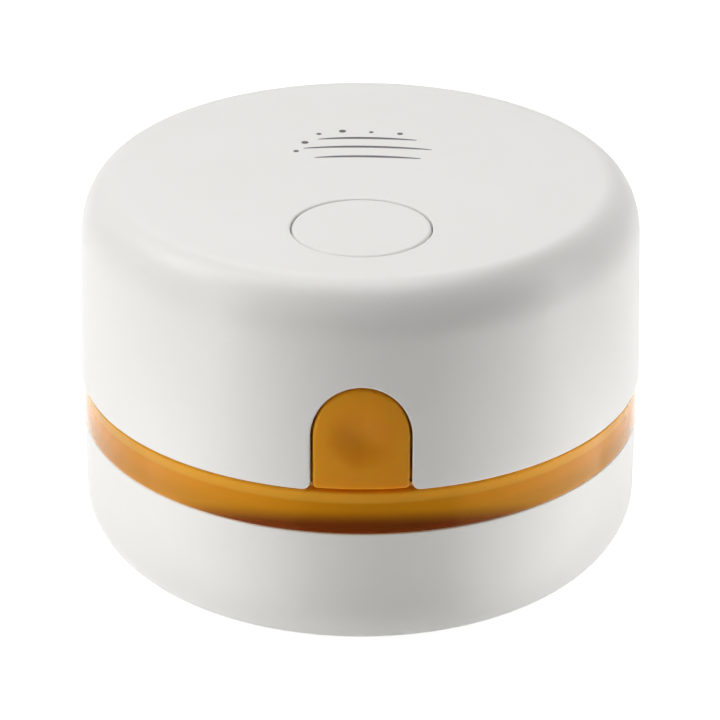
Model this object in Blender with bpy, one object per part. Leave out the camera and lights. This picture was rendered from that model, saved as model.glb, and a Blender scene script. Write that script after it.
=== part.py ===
"""Desktop mini vacuum cleaner: a round white upper unit on a clear amber dust cup in a white base.

Metres, +Z up, front at -Y. The origin is on the floor under the middle of the body. The upper unit
lifts off the dust cup once the amber tab in its front is pressed, and the pleated filter is then
pulled down out of it.
"""

import math

import bmesh
import bpy
from mathutils import Matrix, Vector

# Whole body
BODY_RADIUS = 0.0425
BODY_HEIGHT = 0.060
SHELL_EDGE_Z = 0.029
BASE_TOP_Z = 0.022
FLOOR_GAP = 0.0012
GAP = 0.0003
OVERRUN = 0.001
MERGE_DISTANCE = 0.0000001
SMOOTH_ANGLE = math.radians(35)
WALL = 0.002
THIN_WALL = 0.0012
ROUND_SEGMENTS = 48
INNER_SEGMENTS = 36
MIDDLE_SEGMENTS = 28
SMALL_SEGMENTS = 20
POST_SEGMENTS = 12
SCREW_SEGMENTS = 8
RECESS_SEGMENTS = 10

# Upper shell
SHELL_DRAFT = 0.0007
SHOULDER_IN = 0.0058
SHOULDER_DOWN = 0.0085
SHOULDER_STEPS = 6

# Base ring
BASE_INSET = 0.0003
BASE_ROUND_IN = 0.0092
BASE_ROUND_UP = 0.0090
BASE_ROUND_STEPS = 5
BASE_LIP_RADIUS = 0.0258

# Dust cup
CUP_WALL = 0.0016
CUP_RIM_WALL = 0.002
CUP_FLOOR_Z = 0.0072
CUP_CORNER = 0.003
CUP_INNER_CORNER = 0.0014
CUP_LEDGE_DROP = 0.0015
CUP_LEDGE_RISE = 0.002
CUP_CORNER_STEPS = 2
CHIMNEY_RADIUS = 0.007
CHIMNEY_TAPER = 0.0007
CHIMNEY_TOP_Z = 0.0195
CUP_RIB_RADIUS = 0.0252
CATCH_WIDTH = 0.010
CATCH_DEPTH = 0.0014
CATCH_THICKNESS = 0.0009

# Brush plate and bristles
PLATE_THICKNESS = 0.0017
PLATE_FLANGE = 0.0017
PLATE_FLANGE_THICKNESS = 0.0012
PLATE_RIM_WIDTH = 0.0015
INLET_FLARE = 0.0018
BRUSH_RADIUS = 0.0195
BRUSH_WIDTH = 0.0026
BRUSH_BACKING = 0.001
BRUSH_BACKING_Z = 0.0042
BRUSH_COUNT = 4
BRUSH_ANGLE = math.radians(66)
BRUSH_CELLS = 19
BRUSH_ROWS = 2
CHANNEL_STEPS = 7
BRISTLE_INSET = 0.00022
BRISTLE_SPLAY_SHARE = 0.35

# Feet and screws
FOOT_RADIUS = 0.002
FOOT_SINK = 0.0007
FOOT_EDGE = 0.0003
FOOT_COUNT = 4
BASE_BOLT_CIRCLE = 0.0303
BASE_SCREW_COUNT = 3
SCREW_RADIUS = 0.001
SCREW_HEAD_RADIUS = 0.002
SCREW_HEAD_HEIGHT = 0.0009
SCREW_DOME = 0.0003
BOSS_RADIUS = 0.0026
BASE_SCREW_LENGTH = 0.0052
LONG_SCREW_LENGTH = 0.008
COVER_SCREW_LENGTH = 0.0048
MOTOR_SCREW_LENGTH = 0.0038
LATCH_SCREW_LENGTH = 0.003

# Inner frame of the upper unit
SPIGOT_WALL = 0.0016
SPIGOT_DEPTH = 0.0025
FRAME_PLATE_Z = 0.0322
FRAME_PLATE_THICKNESS = 0.0018
INTAKE_RADIUS = 0.011
SCROLL_RADIUS = 0.0245
SCROLL_WALL = 0.0015
SCROLL_HEIGHT = 0.0047
DUCT_ANGLE = math.radians(53)
DUCT_SPREAD = math.radians(15)
DUCT_MOUTH = 0.012
FRAME_BOLT_INSET = 0.0095
FRAME_BOLT_ANGLES = (math.radians(20), math.radians(160), math.radians(220), math.radians(320))
COVER_BOLT_OUTSET = 0.0023
COVER_BOLT_ANGLES = (0, math.pi, -math.pi / 2)

# Fan cover, fan and motor
COVER_THICKNESS = 0.0016
COVER_RIM = 0.001
FAN_RADIUS = 0.022
FAN_DISC = 0.001
FAN_BLADE_HEIGHT = 0.0026
FAN_EYE_RADIUS = 0.0095
FAN_HUB_RADIUS = 0.003
FAN_BLADES = 9
FAN_BLADE_WALL = 0.0008
FAN_BLADE_SWEEP = math.radians(38)
FAN_SWEEP_POWER = 1.5
FAN_BLADE_STEPS = 4
FAN_CLEARANCE = 0.0006
SHAFT_RADIUS = 0.001
SHAFT_GAP = 0.0001
MOTOR_RADIUS = 0.0122
MOTOR_LENGTH = 0.0098
MOTOR_EDGE = 0.001
MOTOR_NOSE_RADIUS = 0.003
MOTOR_CAP_THICKNESS = 0.0011
MOTOR_CAP_INSET = 0.0006
MOTOR_SCREW_CIRCLE = 0.0085
PAD_THICKNESS = 0.0006
PAD_INNER_RADIUS = 0.0039
PAD_OUTER_RADIUS = 0.0062

# Battery, charging board, switch and wires
CELL_RADIUS = 0.007
CELL_LENGTH = 0.050
CELL_NUB_RADIUS = 0.0027
CELL_NUB = 0.001
CELL_EDGE = 0.0006
CRADLE_FLOOR = 0.001
CRADLE_WIDTH = 0.004
CRADLE_RISE_SHARE = 0.75
CRADLE_PLACE_SHARE = 0.5
CELL_MOTOR_GAP = 0.0018
TAB_THICKNESS = 0.0004
TAB_WIDTH = 0.005
BOARD_WIDTH = 0.016
BOARD_DEPTH = 0.0115
BOARD_THICKNESS = 0.001
STAND_HEIGHT = 0.001
STAND_RADIUS = 0.001
BOARD_EDGE_GAP = 0.002
USB_WIDTH = 0.0090
USB_HEIGHT = 0.0032
USB_DEPTH = 0.0074
USB_WALL = 0.0003
USB_TONGUE = 0.0007
USB_MARGIN = 0.0004
USB_END_STEPS = 6
SWITCH_SIDE = 0.008
SWITCH_HEIGHT = 0.007
PLUNGER_SIDE = 0.0032
PLUNGER_SUNK = 0.0022
PLUNGER_PROUD = 0.0045
WIRE_RADIUS = 0.0005
WIRE_STEPS = 2
MOTOR_LEAD_RED_ROUTE = (
    (0.0061, 0, 0.0536),
    (0.0070, -0.0012, 0.0543),
    (0.0100, -0.0060, 0.0540),
    (0.0115, -0.0110, 0.0520),
    (0.0085, -0.0155, 0.0485),
    (0.0056, -0.0175, 0.0465),
    (0.0048, -0.0175, 0.0444),
)
MOTOR_LEAD_BLACK_ROUTE = (
    (-0.0061, 0, 0.0536),
    (-0.0070, 0.0012, 0.0543),
    (-0.0110, 0.0055, 0.0542),
    (-0.0160, 0.0105, 0.0535),
    (-0.0215, 0.0116, 0.0520),
    (-0.0256, 0.0129, 0.0509),
    (-0.0267, 0.0156, 0.0500),
    (-0.0265, 0.0190, 0.0489),
)
BATTERY_LEAD_ROUTE = (
    (0.0265, 0.0222, 0.0464),
    (0.0268, 0.0260, 0.0448),
    (0.0240, 0.0295, 0.0428),
    (0.0180, 0.0328, 0.0418),
    (0.0115, 0.0330, 0.0414),
    (0.0084, 0.0325, 0.0394),
    (0.0068, 0.0312, 0.0374),
    (0.0064, 0.0310, 0.0366),
)

# Power button
BUTTON_RADIUS = 0.010
BUTTON_OFFSET = 0.0195
BUTTON_EDGE = 0.0004
BUTTON_SKIN = 0.0016
BUTTON_FLANGE = 0.0012
BUTTON_FLANGE_THICKNESS = 0.001
BUTTON_STEM_RADIUS = 0.0022
BUTTON_TRAVEL = 0.0015

# Release button and latch
TAB_HALF_WIDTH = 0.0069
TAB_TOP_Z = 0.0449
TAB_ARCH_SHARE = 1.12
TAB_SLOT_GAP = 0.00035
TAB_FLARE = 0.0012
TAB_ARCH_STEPS = 14
TAB_FLARE_STEPS = 3
TAB_RECESS = 0.0001
TAB_FLANGE = 0.0009
TAB_FLANGE_THICKNESS = 0.0008
TAB_TRAVEL = 0.001
DIMPLE_RADIUS = 0.0045
DIMPLE_DEPTH = 0.0008
DIMPLE_Z = 0.0373
STEM_HALF_WIDTH = 0.003
STEM_HEIGHT = 0.0018
LATCH_WIDTH = 0.009
LATCH_THICKNESS = 0.0005
LATCH_TOP_Z = 0.044
LATCH_BEND_Z = 0.036
LATCH_FOOT_Z = 0.0325
LATCH_JOG = 0.0022
LATCH_ROOM = 0.0019
LATCH_SCREW_Z = 0.0412
LATCH_POST_DEPTH = 0.0032
LATCH_POST_RELIEF = 0.0012
LATCH_POST_RELIEF_TOP_Z = 0.038

# Filter
FILTER_HEIGHT = 0.0036
FILTER_WALL = 0.0018
FILTER_RIB = 0.0012
FILTER_SPOKES = 8
FILTER_RING_SHARE = 0.5
GASKET_WIDTH = 0.0022
PLEAT_COUNT = 16
PLEAT_WALL_SHARE = 0.35

# Exhaust slots in the upper shell
VENT_COUNT = 5
VENT_WIDTH = 0.0014
VENT_HEIGHT = 0.0044
VENT_PITCH = math.radians(4.5)
VENT_STEPS = 3

# Places worked out from the sizes above
SHELL_INNER = BODY_RADIUS - WALL
SHOULDER_RADIUS = BODY_RADIUS - SHELL_DRAFT
SHOULDER_Z = BODY_HEIGHT - SHOULDER_DOWN
CEILING_Z = BODY_HEIGHT - WALL
BASE_RADIUS = BODY_RADIUS - BASE_INSET
BASE_INNER = BASE_RADIUS - WALL
BASE_FLOOR_Z = FLOOR_GAP + WALL
CUP_RING_RADIUS = BODY_RADIUS - BASE_INSET
CUP_RING_BOTTOM_Z = BASE_TOP_Z + GAP
CUP_TOP_Z = SHELL_EDGE_Z - GAP
CUP_OUTER = BASE_INNER - GAP
CUP_INNER = CUP_OUTER - CUP_WALL
CUP_RIM_INNER = CUP_RING_RADIUS - CUP_RIM_WALL
CUP_FLOOR_TOP_Z = CUP_FLOOR_Z + CUP_WALL
SPIGOT_OUTER = CUP_RIM_INNER - GAP
SPIGOT_INNER = SPIGOT_OUTER - SPIGOT_WALL
SPIGOT_BOTTOM_Z = SHELL_EDGE_Z - SPIGOT_DEPTH
FRAME_TOP_Z = FRAME_PLATE_Z + FRAME_PLATE_THICKNESS
SCROLL_TOP_Z = FRAME_TOP_Z + SCROLL_HEIGHT
SCROLL_OUTER = SCROLL_RADIUS + SCROLL_WALL
COVER_Z = SCROLL_TOP_Z + GAP
COVER_TOP_Z = COVER_Z + COVER_THICKNESS
COVER_RADIUS = SCROLL_OUTER + COVER_RIM
COVER_BOLT_CIRCLE = SCROLL_OUTER + COVER_BOLT_OUTSET
FRAME_BOLT_CIRCLE = SPIGOT_OUTER - FRAME_BOLT_INSET
PAD_Z = COVER_TOP_Z + GAP
MOTOR_Z = PAD_Z + PAD_THICKNESS + GAP
MOTOR_TOP_Z = MOTOR_Z + MOTOR_LENGTH
MOTOR_CAP_Z = MOTOR_TOP_Z + GAP
MOTOR_CAP_TOP_Z = MOTOR_CAP_Z + MOTOR_CAP_THICKNESS
FAN_Z = FRAME_TOP_Z + FAN_CLEARANCE
FAN_DISC_Z = FAN_Z + FAN_BLADE_HEIGHT
FAN_TOP_Z = FAN_DISC_Z + FAN_DISC
CELL_Y = MOTOR_RADIUS + CELL_MOTOR_GAP + CELL_RADIUS
CELL_Z = COVER_TOP_Z + CRADLE_FLOOR + GAP + CELL_RADIUS
SWITCH_Z = COVER_TOP_Z + GAP
SWITCH_TOP_Z = SWITCH_Z + SWITCH_HEIGHT
PLUNGER_TOP_Z = SWITCH_TOP_Z + PLUNGER_PROUD
SCREW_HOLE = SCREW_RADIUS + GAP
SCREW_RECESS = SCREW_HEAD_RADIUS + GAP
CATCH_TOP_Z = SPIGOT_BOTTOM_Z - GAP
CATCH_Z = CATCH_TOP_Z - CATCH_THICKNESS
LATCH_NOSE_Z = CATCH_Z - GAP - LATCH_THICKNESS / 2
BOARD_Z = FRAME_TOP_Z + STAND_HEIGHT + GAP
BOARD_TOP_Z = BOARD_Z + BOARD_THICKNESS
BOARD_BACK_Y = SHELL_INNER - BOARD_EDGE_GAP
USB_Z = BOARD_TOP_Z + GAP + USB_HEIGHT / 2
USB_BACK_Y = BODY_RADIUS - WALL / 2
TAB_FLANGE_BACK_Y = TAB_FLANGE_THICKNESS + GAP - math.sqrt(
    (SHOULDER_RADIUS - WALL) ** 2 - (TAB_HALF_WIDTH + TAB_FLANGE) ** 2
)
TAB_FLANGE_Y = TAB_FLANGE_BACK_Y - TAB_FLANGE_THICKNESS
TAB_CUT_Y = SHELL_INNER - 2 * WALL
LATCH_FRONT_Y = max(2 * GAP - SPIGOT_INNER, TAB_FLANGE_BACK_Y + GAP / 2)
LATCH_Y = LATCH_FRONT_Y + LATCH_THICKNESS / 2
LATCH_CLAMP_Y = LATCH_Y + LATCH_JOG
LATCH_POST_Y = LATCH_CLAMP_Y + LATCH_THICKNESS / 2 + GAP
FILTER_FLAT = -(LATCH_FRONT_Y + LATCH_THICKNESS + LATCH_ROOM)


def clear_scene():
    for thing in list(bpy.data.objects):
        bpy.data.objects.remove(thing, do_unlink=True)


def add_material(name, colour, roughness, metallic=0.0, alpha=1.0):
    material = bpy.data.materials.new(name)
    material.use_nodes = True
    shader = material.node_tree.nodes["Principled BSDF"]
    shader.inputs["Base Color"].default_value = (*colour, 1.0)
    shader.inputs["Roughness"].default_value = roughness
    shader.inputs["Metallic"].default_value = metallic
    shader.inputs["Alpha"].default_value = alpha
    material.diffuse_color = (*colour, alpha)
    return material


def add_empty(name, place, parent=None):
    empty = bpy.data.objects.new(name, None)
    empty.empty_display_size = WALL
    bpy.context.collection.objects.link(empty)
    empty.parent = parent
    offset = parent.matrix_world.translation if parent else Vector((0, 0, 0))
    empty.location = Vector(place) - offset
    bpy.context.view_layer.update()
    return empty


def object_from(name, shape):
    mesh = bpy.data.meshes.new(name)
    shape.to_mesh(mesh)
    shape.free()
    mesh.shade_smooth()
    mesh.set_sharp_from_angle(angle=SMOOTH_ANGLE)
    thing = bpy.data.objects.new(name, mesh)
    bpy.context.collection.objects.link(thing)
    return thing


def add_piece(name, shape, material, parent=None, origin=(0, 0, 0)):
    """A named piece whose shape is given in place, with its object's origin at a chosen point."""
    bmesh.ops.translate(shape, verts=shape.verts, vec=-Vector(origin))
    piece = object_from(name, shape)
    piece.data.materials.append(material)
    piece.parent = parent
    offset = parent.matrix_world.translation if parent else Vector((0, 0, 0))
    piece.location = Vector(origin) - offset
    return piece


def merged(shapes):
    """Several shapes as the separate bodies of one mesh."""
    whole = bmesh.new()
    for shape in shapes:
        mesh = bpy.data.meshes.new("part")
        shape.to_mesh(mesh)
        shape.free()
        whole.from_mesh(mesh)
        bpy.data.meshes.remove(mesh)
    return whole


def add_boolean(piece, label, operation, shapes):
    """Fuses shapes to a piece, cuts them out of it, or keeps what lies inside them."""
    tool = object_from(f"{piece.name}_{label}", merged(shapes))
    tool.hide_render = True
    tool.display_type = "WIRE"
    modifier = piece.modifiers.new(label, "BOOLEAN")
    modifier.operation = operation
    modifier.solver = "EXACT"
    modifier.object = tool


def fuse(piece, label, *shapes):
    add_boolean(piece, label, "UNION", shapes)


def cut(piece, label, *shapes):
    add_boolean(piece, label, "DIFFERENCE", shapes)


def closed(shape):
    """The shape with its doubles merged and its faces turned outwards."""
    bmesh.ops.remove_doubles(shape, verts=shape.verts, dist=MERGE_DISTANCE)
    bmesh.ops.dissolve_degenerate(shape, edges=shape.edges, dist=MERGE_DISTANCE)
    bmesh.ops.recalc_face_normals(shape, faces=shape.faces)
    return shape


def arc(centre, radii, start, end, steps):
    """Points along an ellipse's arc, from one angle to another, both ends included."""
    turns = [start + (end - start) * step / steps for step in range(steps + 1)]
    return [
        (centre[0] + radii[0] * math.cos(turn), centre[1] + radii[1] * math.sin(turn))
        for turn in turns
    ]


def turned(outline, segments=ROUND_SEGMENTS, centre=(0, 0)):
    """A closed outline of (radius, height) points spun about an upright axis at the centre."""
    shape = bmesh.new()
    ring = [shape.verts.new((radius, 0, height)) for radius, height in outline]
    edges = [shape.edges.new(pair) for pair in zip(ring, ring[1:] + ring[:1])]
    bmesh.ops.spin(
        shape,
        geom=ring + edges,
        cent=(0, 0, 0),
        axis=(0, 0, 1),
        angle=2 * math.pi,
        steps=segments,
        use_merge=True,
    )
    bmesh.ops.translate(shape, verts=shape.verts, vec=(*centre, 0))
    return closed(shape)


def prism(outline, bottom, top):
    """A closed outline of (x, y) points carried straight up from one height to another."""
    shape = bmesh.new()
    base = shape.faces.new([shape.verts.new((x, y, bottom)) for x, y in outline])
    raised = bmesh.ops.extrude_face_region(shape, geom=[base])["geom"]
    points = [part for part in raised if isinstance(part, bmesh.types.BMVert)]
    bmesh.ops.translate(shape, verts=points, vec=(0, 0, top - bottom))
    return closed(shape)


def block(low, high):
    outline = [(low[0], low[1]), (high[0], low[1]), (high[0], high[1]), (low[0], high[1])]
    return prism(outline, low[2], high[2])


def post(radius, bottom, top, centre=(0, 0), segments=SMALL_SEGMENTS):
    return turned([(0, bottom), (radius, bottom), (radius, top), (0, top)], segments, centre)


def moved(shape, matrix):
    bmesh.ops.transform(shape, matrix=matrix, verts=shape.verts)
    bmesh.ops.recalc_face_normals(shape, faces=shape.faces)
    return shape


def swung(shape, angle):
    """The shape turned about the body's axis."""
    return moved(shape, Matrix.Rotation(angle, 4, "Z"))


def on_circle(radius, angle):
    return (radius * math.cos(angle), radius * math.sin(angle))


def sector(inner, outer, spread, bottom, top, steps):
    """A stretch of a flat ring, centred on the +X axis."""
    near = arc((0, 0), (inner, inner), -spread / 2, spread / 2, steps)
    far = arc((0, 0), (outer, outer), spread / 2, -spread / 2, steps)
    return prism(near + far, bottom, top)


def screw(length):
    """A plain screw along +Z with its domed head below, seat at the origin."""
    outline = [
        (0, -SCREW_HEAD_HEIGHT),
        (SCREW_HEAD_RADIUS - SCREW_DOME, -SCREW_HEAD_HEIGHT),
        (SCREW_HEAD_RADIUS, SCREW_DOME - SCREW_HEAD_HEIGHT),
        (SCREW_HEAD_RADIUS, 0),
        (SCREW_RADIUS, 0),
        (SCREW_RADIUS, length - SCREW_RADIUS),
        (0, length),
    ]
    return turned(outline, SCREW_SEGMENTS)


def countersink(bottom, seat, top, place):
    """The hole for a screw from below, wide enough for its head up to the seat."""
    outline = [(0, bottom), (SCREW_RECESS, bottom), (SCREW_RECESS, seat)]
    outline += [(SCREW_HOLE, seat), (SCREW_HOLE, top), (0, top)]
    return turned(outline, RECESS_SEGMENTS, place)


def shell_radius(height):
    """The upper shell's outer radius on its drafted side wall."""
    share = (height - SHELL_EDGE_Z) / (SHOULDER_Z - SHELL_EDGE_Z)
    return BODY_RADIUS - SHELL_DRAFT * share


def arch_outline(grow, bottom):
    """The tab's arched front outline in (x, z): straight sides under a half ellipse."""
    half = TAB_HALF_WIDTH + grow
    rise = TAB_HALF_WIDTH * TAB_ARCH_SHARE + grow
    spring = TAB_TOP_Z + grow - rise
    arch = arc((0, spring), (half, rise), 0, math.pi, TAB_ARCH_STEPS)
    return [(half, bottom)] + arch + [(-half, bottom)]


def through_front(outline, front, back):
    """An (x, z) outline carried along Y between two depths."""
    shape = prism([(x, -z) for x, z in outline], front, back)
    return moved(shape, Matrix.Rotation(-math.pi / 2, 4, "X"))


def build_top_shell(material, parent):
    """The drafted side wall, rounded shoulder and flat top, with screw posts, button hole,
    arched tab opening, exhaust slots and charging slot."""
    centre = (SHOULDER_RADIUS - SHOULDER_IN, SHOULDER_Z)
    outer = arc(centre, (SHOULDER_IN, SHOULDER_DOWN), 0, math.pi / 2, SHOULDER_STEPS)
    inner_radii = (SHOULDER_IN - WALL, SHOULDER_DOWN - WALL)
    inner = arc(centre, inner_radii, math.pi / 2, 0, SHOULDER_STEPS)
    outline = [(BODY_RADIUS, SHELL_EDGE_Z)] + outer + [(0, BODY_HEIGHT), (0, CEILING_Z)]
    outline += inner + [(SHELL_INNER, SHELL_EDGE_Z)]
    piece = add_piece("top_shell", turned(outline), material, parent)
    places = [on_circle(FRAME_BOLT_CIRCLE, angle) for angle in FRAME_BOLT_ANGLES]
    foot = FRAME_TOP_Z + GAP
    root = CEILING_Z + WALL / 2
    posts = [post(BOSS_RADIUS, foot, root, place, POST_SEGMENTS) for place in places]
    fuse(piece, "posts", *posts)
    bores = [
        post(SCREW_HOLE, foot - OVERRUN, foot + LONG_SCREW_LENGTH, place, SCREW_SEGMENTS)
        for place in places
    ]
    button_hole = post(
        BUTTON_RADIUS + GAP,
        CEILING_Z - OVERRUN,
        BODY_HEIGHT + OVERRUN,
        (0, -BUTTON_OFFSET),
        MIDDLE_SEGMENTS,
    )
    cut(piece, "openings", button_hole, tab_opening(), usb_opening(), *vents(), *bores)
    return piece


def tab_opening():
    """The arched opening, flared where its sides meet the shell's lower edge."""
    half = TAB_HALF_WIDTH + TAB_SLOT_GAP
    arch = arch_outline(TAB_SLOT_GAP, SHELL_EDGE_Z)
    side = [point for point in arch if point[1] > SHELL_EDGE_Z]
    flare = (half + TAB_FLARE, SHELL_EDGE_Z + TAB_FLARE)
    right = arc(flare, (TAB_FLARE, TAB_FLARE), -math.pi / 2, -math.pi, TAB_FLARE_STEPS)
    left = [(-x, z) for x, z in reversed(right)]
    below = SHELL_EDGE_Z - OVERRUN
    skirt = [(-half - TAB_FLARE, below), (half + TAB_FLARE, below)]
    outline = skirt + right + side + left
    return through_front(outline, -BODY_RADIUS - OVERRUN, -TAB_CUT_Y)


def vents():
    """Upright slots with round ends, in two groups in front of the exhaust ducts."""
    half = VENT_WIDTH / 2
    middle = (FRAME_TOP_Z + COVER_Z) / 2
    reach = VENT_HEIGHT / 2 - half
    outline = arc((0, middle + reach), (half, half), 0, math.pi, VENT_STEPS)
    outline += arc((0, middle - reach), (half, half), math.pi, 2 * math.pi, VENT_STEPS)
    slots = []
    for side in (-1, 1):
        for number in range(VENT_COUNT):
            offset = (number - (VENT_COUNT - 1) / 2) * VENT_PITCH
            slot = through_front(outline, -BODY_RADIUS - OVERRUN, WALL - SHELL_INNER)
            slots.append(swung(slot, math.pi + side * (math.pi / 2 - DUCT_ANGLE) + offset))
    return slots


def stadium(width, height, middle):
    """An (x, z) outline with half-round ends."""
    radius = height / 2
    reach = width / 2 - radius
    right = arc((reach, middle), (radius, radius), -math.pi / 2, math.pi / 2, USB_END_STEPS)
    left = arc((-reach, middle), (radius, radius), math.pi / 2, 3 * math.pi / 2, USB_END_STEPS)
    return right + left


def usb_opening():
    outline = stadium(USB_WIDTH + 2 * USB_MARGIN, USB_HEIGHT + 2 * USB_MARGIN, USB_Z)
    return through_front(outline, SHELL_INNER - WALL, BODY_RADIUS + OVERRUN)


def build_base_ring(material, parent):
    """The lower housing: a straight wall that rounds in to a lip under the brush plate."""
    centre = (BASE_RADIUS - BASE_ROUND_IN, FLOOR_GAP + BASE_ROUND_UP)
    outer = arc(centre, (BASE_ROUND_IN, BASE_ROUND_UP), 0, -math.pi / 2, BASE_ROUND_STEPS)
    inner_radii = (BASE_ROUND_IN - WALL, BASE_ROUND_UP - WALL)
    inner = arc(centre, inner_radii, -math.pi / 2, 0, BASE_ROUND_STEPS)
    outline = [(BASE_RADIUS, BASE_TOP_Z)] + outer
    outline += [(BASE_LIP_RADIUS, FLOOR_GAP), (BASE_LIP_RADIUS, BASE_FLOOR_Z)]
    outline += inner + [(BASE_INNER, BASE_TOP_Z)]
    piece = add_piece("base_ring", turned(outline), material, parent)
    pockets = [
        post(FOOT_RADIUS + GAP, FLOOR_GAP - OVERRUN, FLOOR_GAP + FOOT_SINK + GAP, place, POST_SEGMENTS)
        for place in foot_places()
    ]
    recess_top = FLOOR_GAP + SCREW_HEAD_HEIGHT + GAP
    recesses = [
        countersink(FLOOR_GAP - OVERRUN, recess_top, BASE_FLOOR_Z + OVERRUN, place)
        for place in base_screw_places()
    ]
    cut(piece, "recesses", *pockets, *recesses)
    return piece


def foot_places():
    step = 2 * math.pi / FOOT_COUNT
    return [on_circle(BASE_BOLT_CIRCLE, step * (number + 0.5)) for number in range(FOOT_COUNT)]


def base_screw_places():
    step = 2 * math.pi / BASE_SCREW_COUNT
    return [
        on_circle(BASE_BOLT_CIRCLE, math.pi / 2 + step * number)
        for number in range(BASE_SCREW_COUNT)
    ]


def build_dust_cup(material, parent):
    """The clear cup: a ring flush with the housings, a wall nested in the base, an intake chimney
    up through its floor, bosses for the base screws and a catch under its rim for the latch."""
    inner_floor = (CUP_INNER - CUP_INNER_CORNER, CUP_FLOOR_TOP_Z + CUP_INNER_CORNER)
    outer_floor = (CUP_OUTER - CUP_CORNER, CUP_FLOOR_Z + CUP_CORNER)
    inner_radii = (CUP_INNER_CORNER, CUP_INNER_CORNER)
    outer_radii = (CUP_CORNER, CUP_CORNER)
    ledge_top = CUP_RING_BOTTOM_Z + CUP_LEDGE_RISE
    rib_bottom = BASE_FLOOR_Z + GAP + PLATE_FLANGE_THICKNESS + GAP
    outline = [(CUP_RING_RADIUS, CUP_RING_BOTTOM_Z), (CUP_RING_RADIUS, CUP_TOP_Z)]
    outline += [(CUP_RIM_INNER, CUP_TOP_Z), (CUP_RIM_INNER, ledge_top)]
    outline += [(CUP_INNER, ledge_top - CUP_LEDGE_DROP)]
    outline += arc(inner_floor, inner_radii, 0, -math.pi / 2, CUP_CORNER_STEPS)
    outline += [
        (CHIMNEY_RADIUS + THIN_WALL, CUP_FLOOR_TOP_Z),
        (CHIMNEY_RADIUS + THIN_WALL - CHIMNEY_TAPER, CHIMNEY_TOP_Z),
        (CHIMNEY_RADIUS - CHIMNEY_TAPER, CHIMNEY_TOP_Z),
        (CHIMNEY_RADIUS, CUP_FLOOR_Z),
        (CUP_RIB_RADIUS, CUP_FLOOR_Z),
        (CUP_RIB_RADIUS, rib_bottom),
        (CUP_RIB_RADIUS + THIN_WALL, rib_bottom),
        (CUP_RIB_RADIUS + THIN_WALL, CUP_FLOOR_Z),
    ]
    outline += arc(outer_floor, outer_radii, -math.pi / 2, 0, CUP_CORNER_STEPS)
    outline += [(CUP_OUTER, CUP_RING_BOTTOM_Z)]
    piece = add_piece("dust_cup", turned(outline), material, parent)
    foot = BASE_FLOOR_Z + GAP
    bosses = [
        post(BOSS_RADIUS, foot, CUP_FLOOR_Z + CUP_WALL / 2, place, POST_SEGMENTS)
        for place in base_screw_places()
    ]
    catch = block(
        (-CATCH_WIDTH / 2, -CUP_RIM_INNER - CUP_RIM_WALL / 2, CATCH_Z),
        (CATCH_WIDTH / 2, -CUP_RIM_INNER + CATCH_DEPTH, CATCH_TOP_Z),
    )
    fuse(piece, "bosses", catch, *bosses)
    bores = [
        post(SCREW_HOLE, foot - OVERRUN, CUP_FLOOR_Z + CUP_WALL / 4, place, SCREW_SEGMENTS)
        for place in base_screw_places()
    ]
    cut(piece, "bores", *bores)
    return piece


def build_brush_plate(material, parent):
    """The underside plate: a flared inlet with its collar, and arched channels for the bristles."""
    plate_radius = BASE_LIP_RADIUS - GAP
    flange_z = BASE_FLOOR_Z + GAP
    flange_top = flange_z + PLATE_FLANGE_THICKNESS
    plate_top = FLOOR_GAP + PLATE_THICKNESS
    collar = CHIMNEY_RADIUS + THIN_WALL
    outline = [
        (CHIMNEY_RADIUS + INLET_FLARE, FLOOR_GAP),
        (plate_radius, FLOOR_GAP),
        (plate_radius, flange_z),
        (plate_radius + PLATE_FLANGE, flange_z),
        (plate_radius + PLATE_FLANGE, flange_top),
        (plate_radius - PLATE_RIM_WIDTH, flange_top),
        (plate_radius - PLATE_RIM_WIDTH, plate_top),
        (collar, plate_top),
        (collar, CUP_FLOOR_Z - GAP),
        (CHIMNEY_RADIUS, CUP_FLOOR_Z - GAP),
        (CHIMNEY_RADIUS, plate_top),
    ]
    piece = add_piece("brush_plate", turned(outline, INNER_SEGMENTS), material, parent)
    slot = BRUSH_WIDTH / 2 + GAP
    groove_top = BRUSH_BACKING_Z + BRUSH_BACKING + GAP
    end_room = (GAP + THIN_WALL) / BRUSH_RADIUS
    channels = []
    grooves = []
    for number in range(BRUSH_COUNT):
        angle = 2 * math.pi * number / BRUSH_COUNT
        channel = sector(
            BRUSH_RADIUS - slot - THIN_WALL,
            BRUSH_RADIUS + slot + THIN_WALL,
            BRUSH_ANGLE + 2 * end_room,
            plate_top - PLATE_THICKNESS / 2,
            groove_top + THIN_WALL,
            CHANNEL_STEPS,
        )
        groove = sector(
            BRUSH_RADIUS - slot,
            BRUSH_RADIUS + slot,
            BRUSH_ANGLE + 2 * GAP / BRUSH_RADIUS,
            FLOOR_GAP - OVERRUN,
            groove_top,
            CHANNEL_STEPS,
        )
        channels.append(swung(channel, angle))
        grooves.append(swung(groove, angle))
    fuse(piece, "channels", *channels)
    cut(piece, "grooves", *grooves)
    return piece


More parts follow.
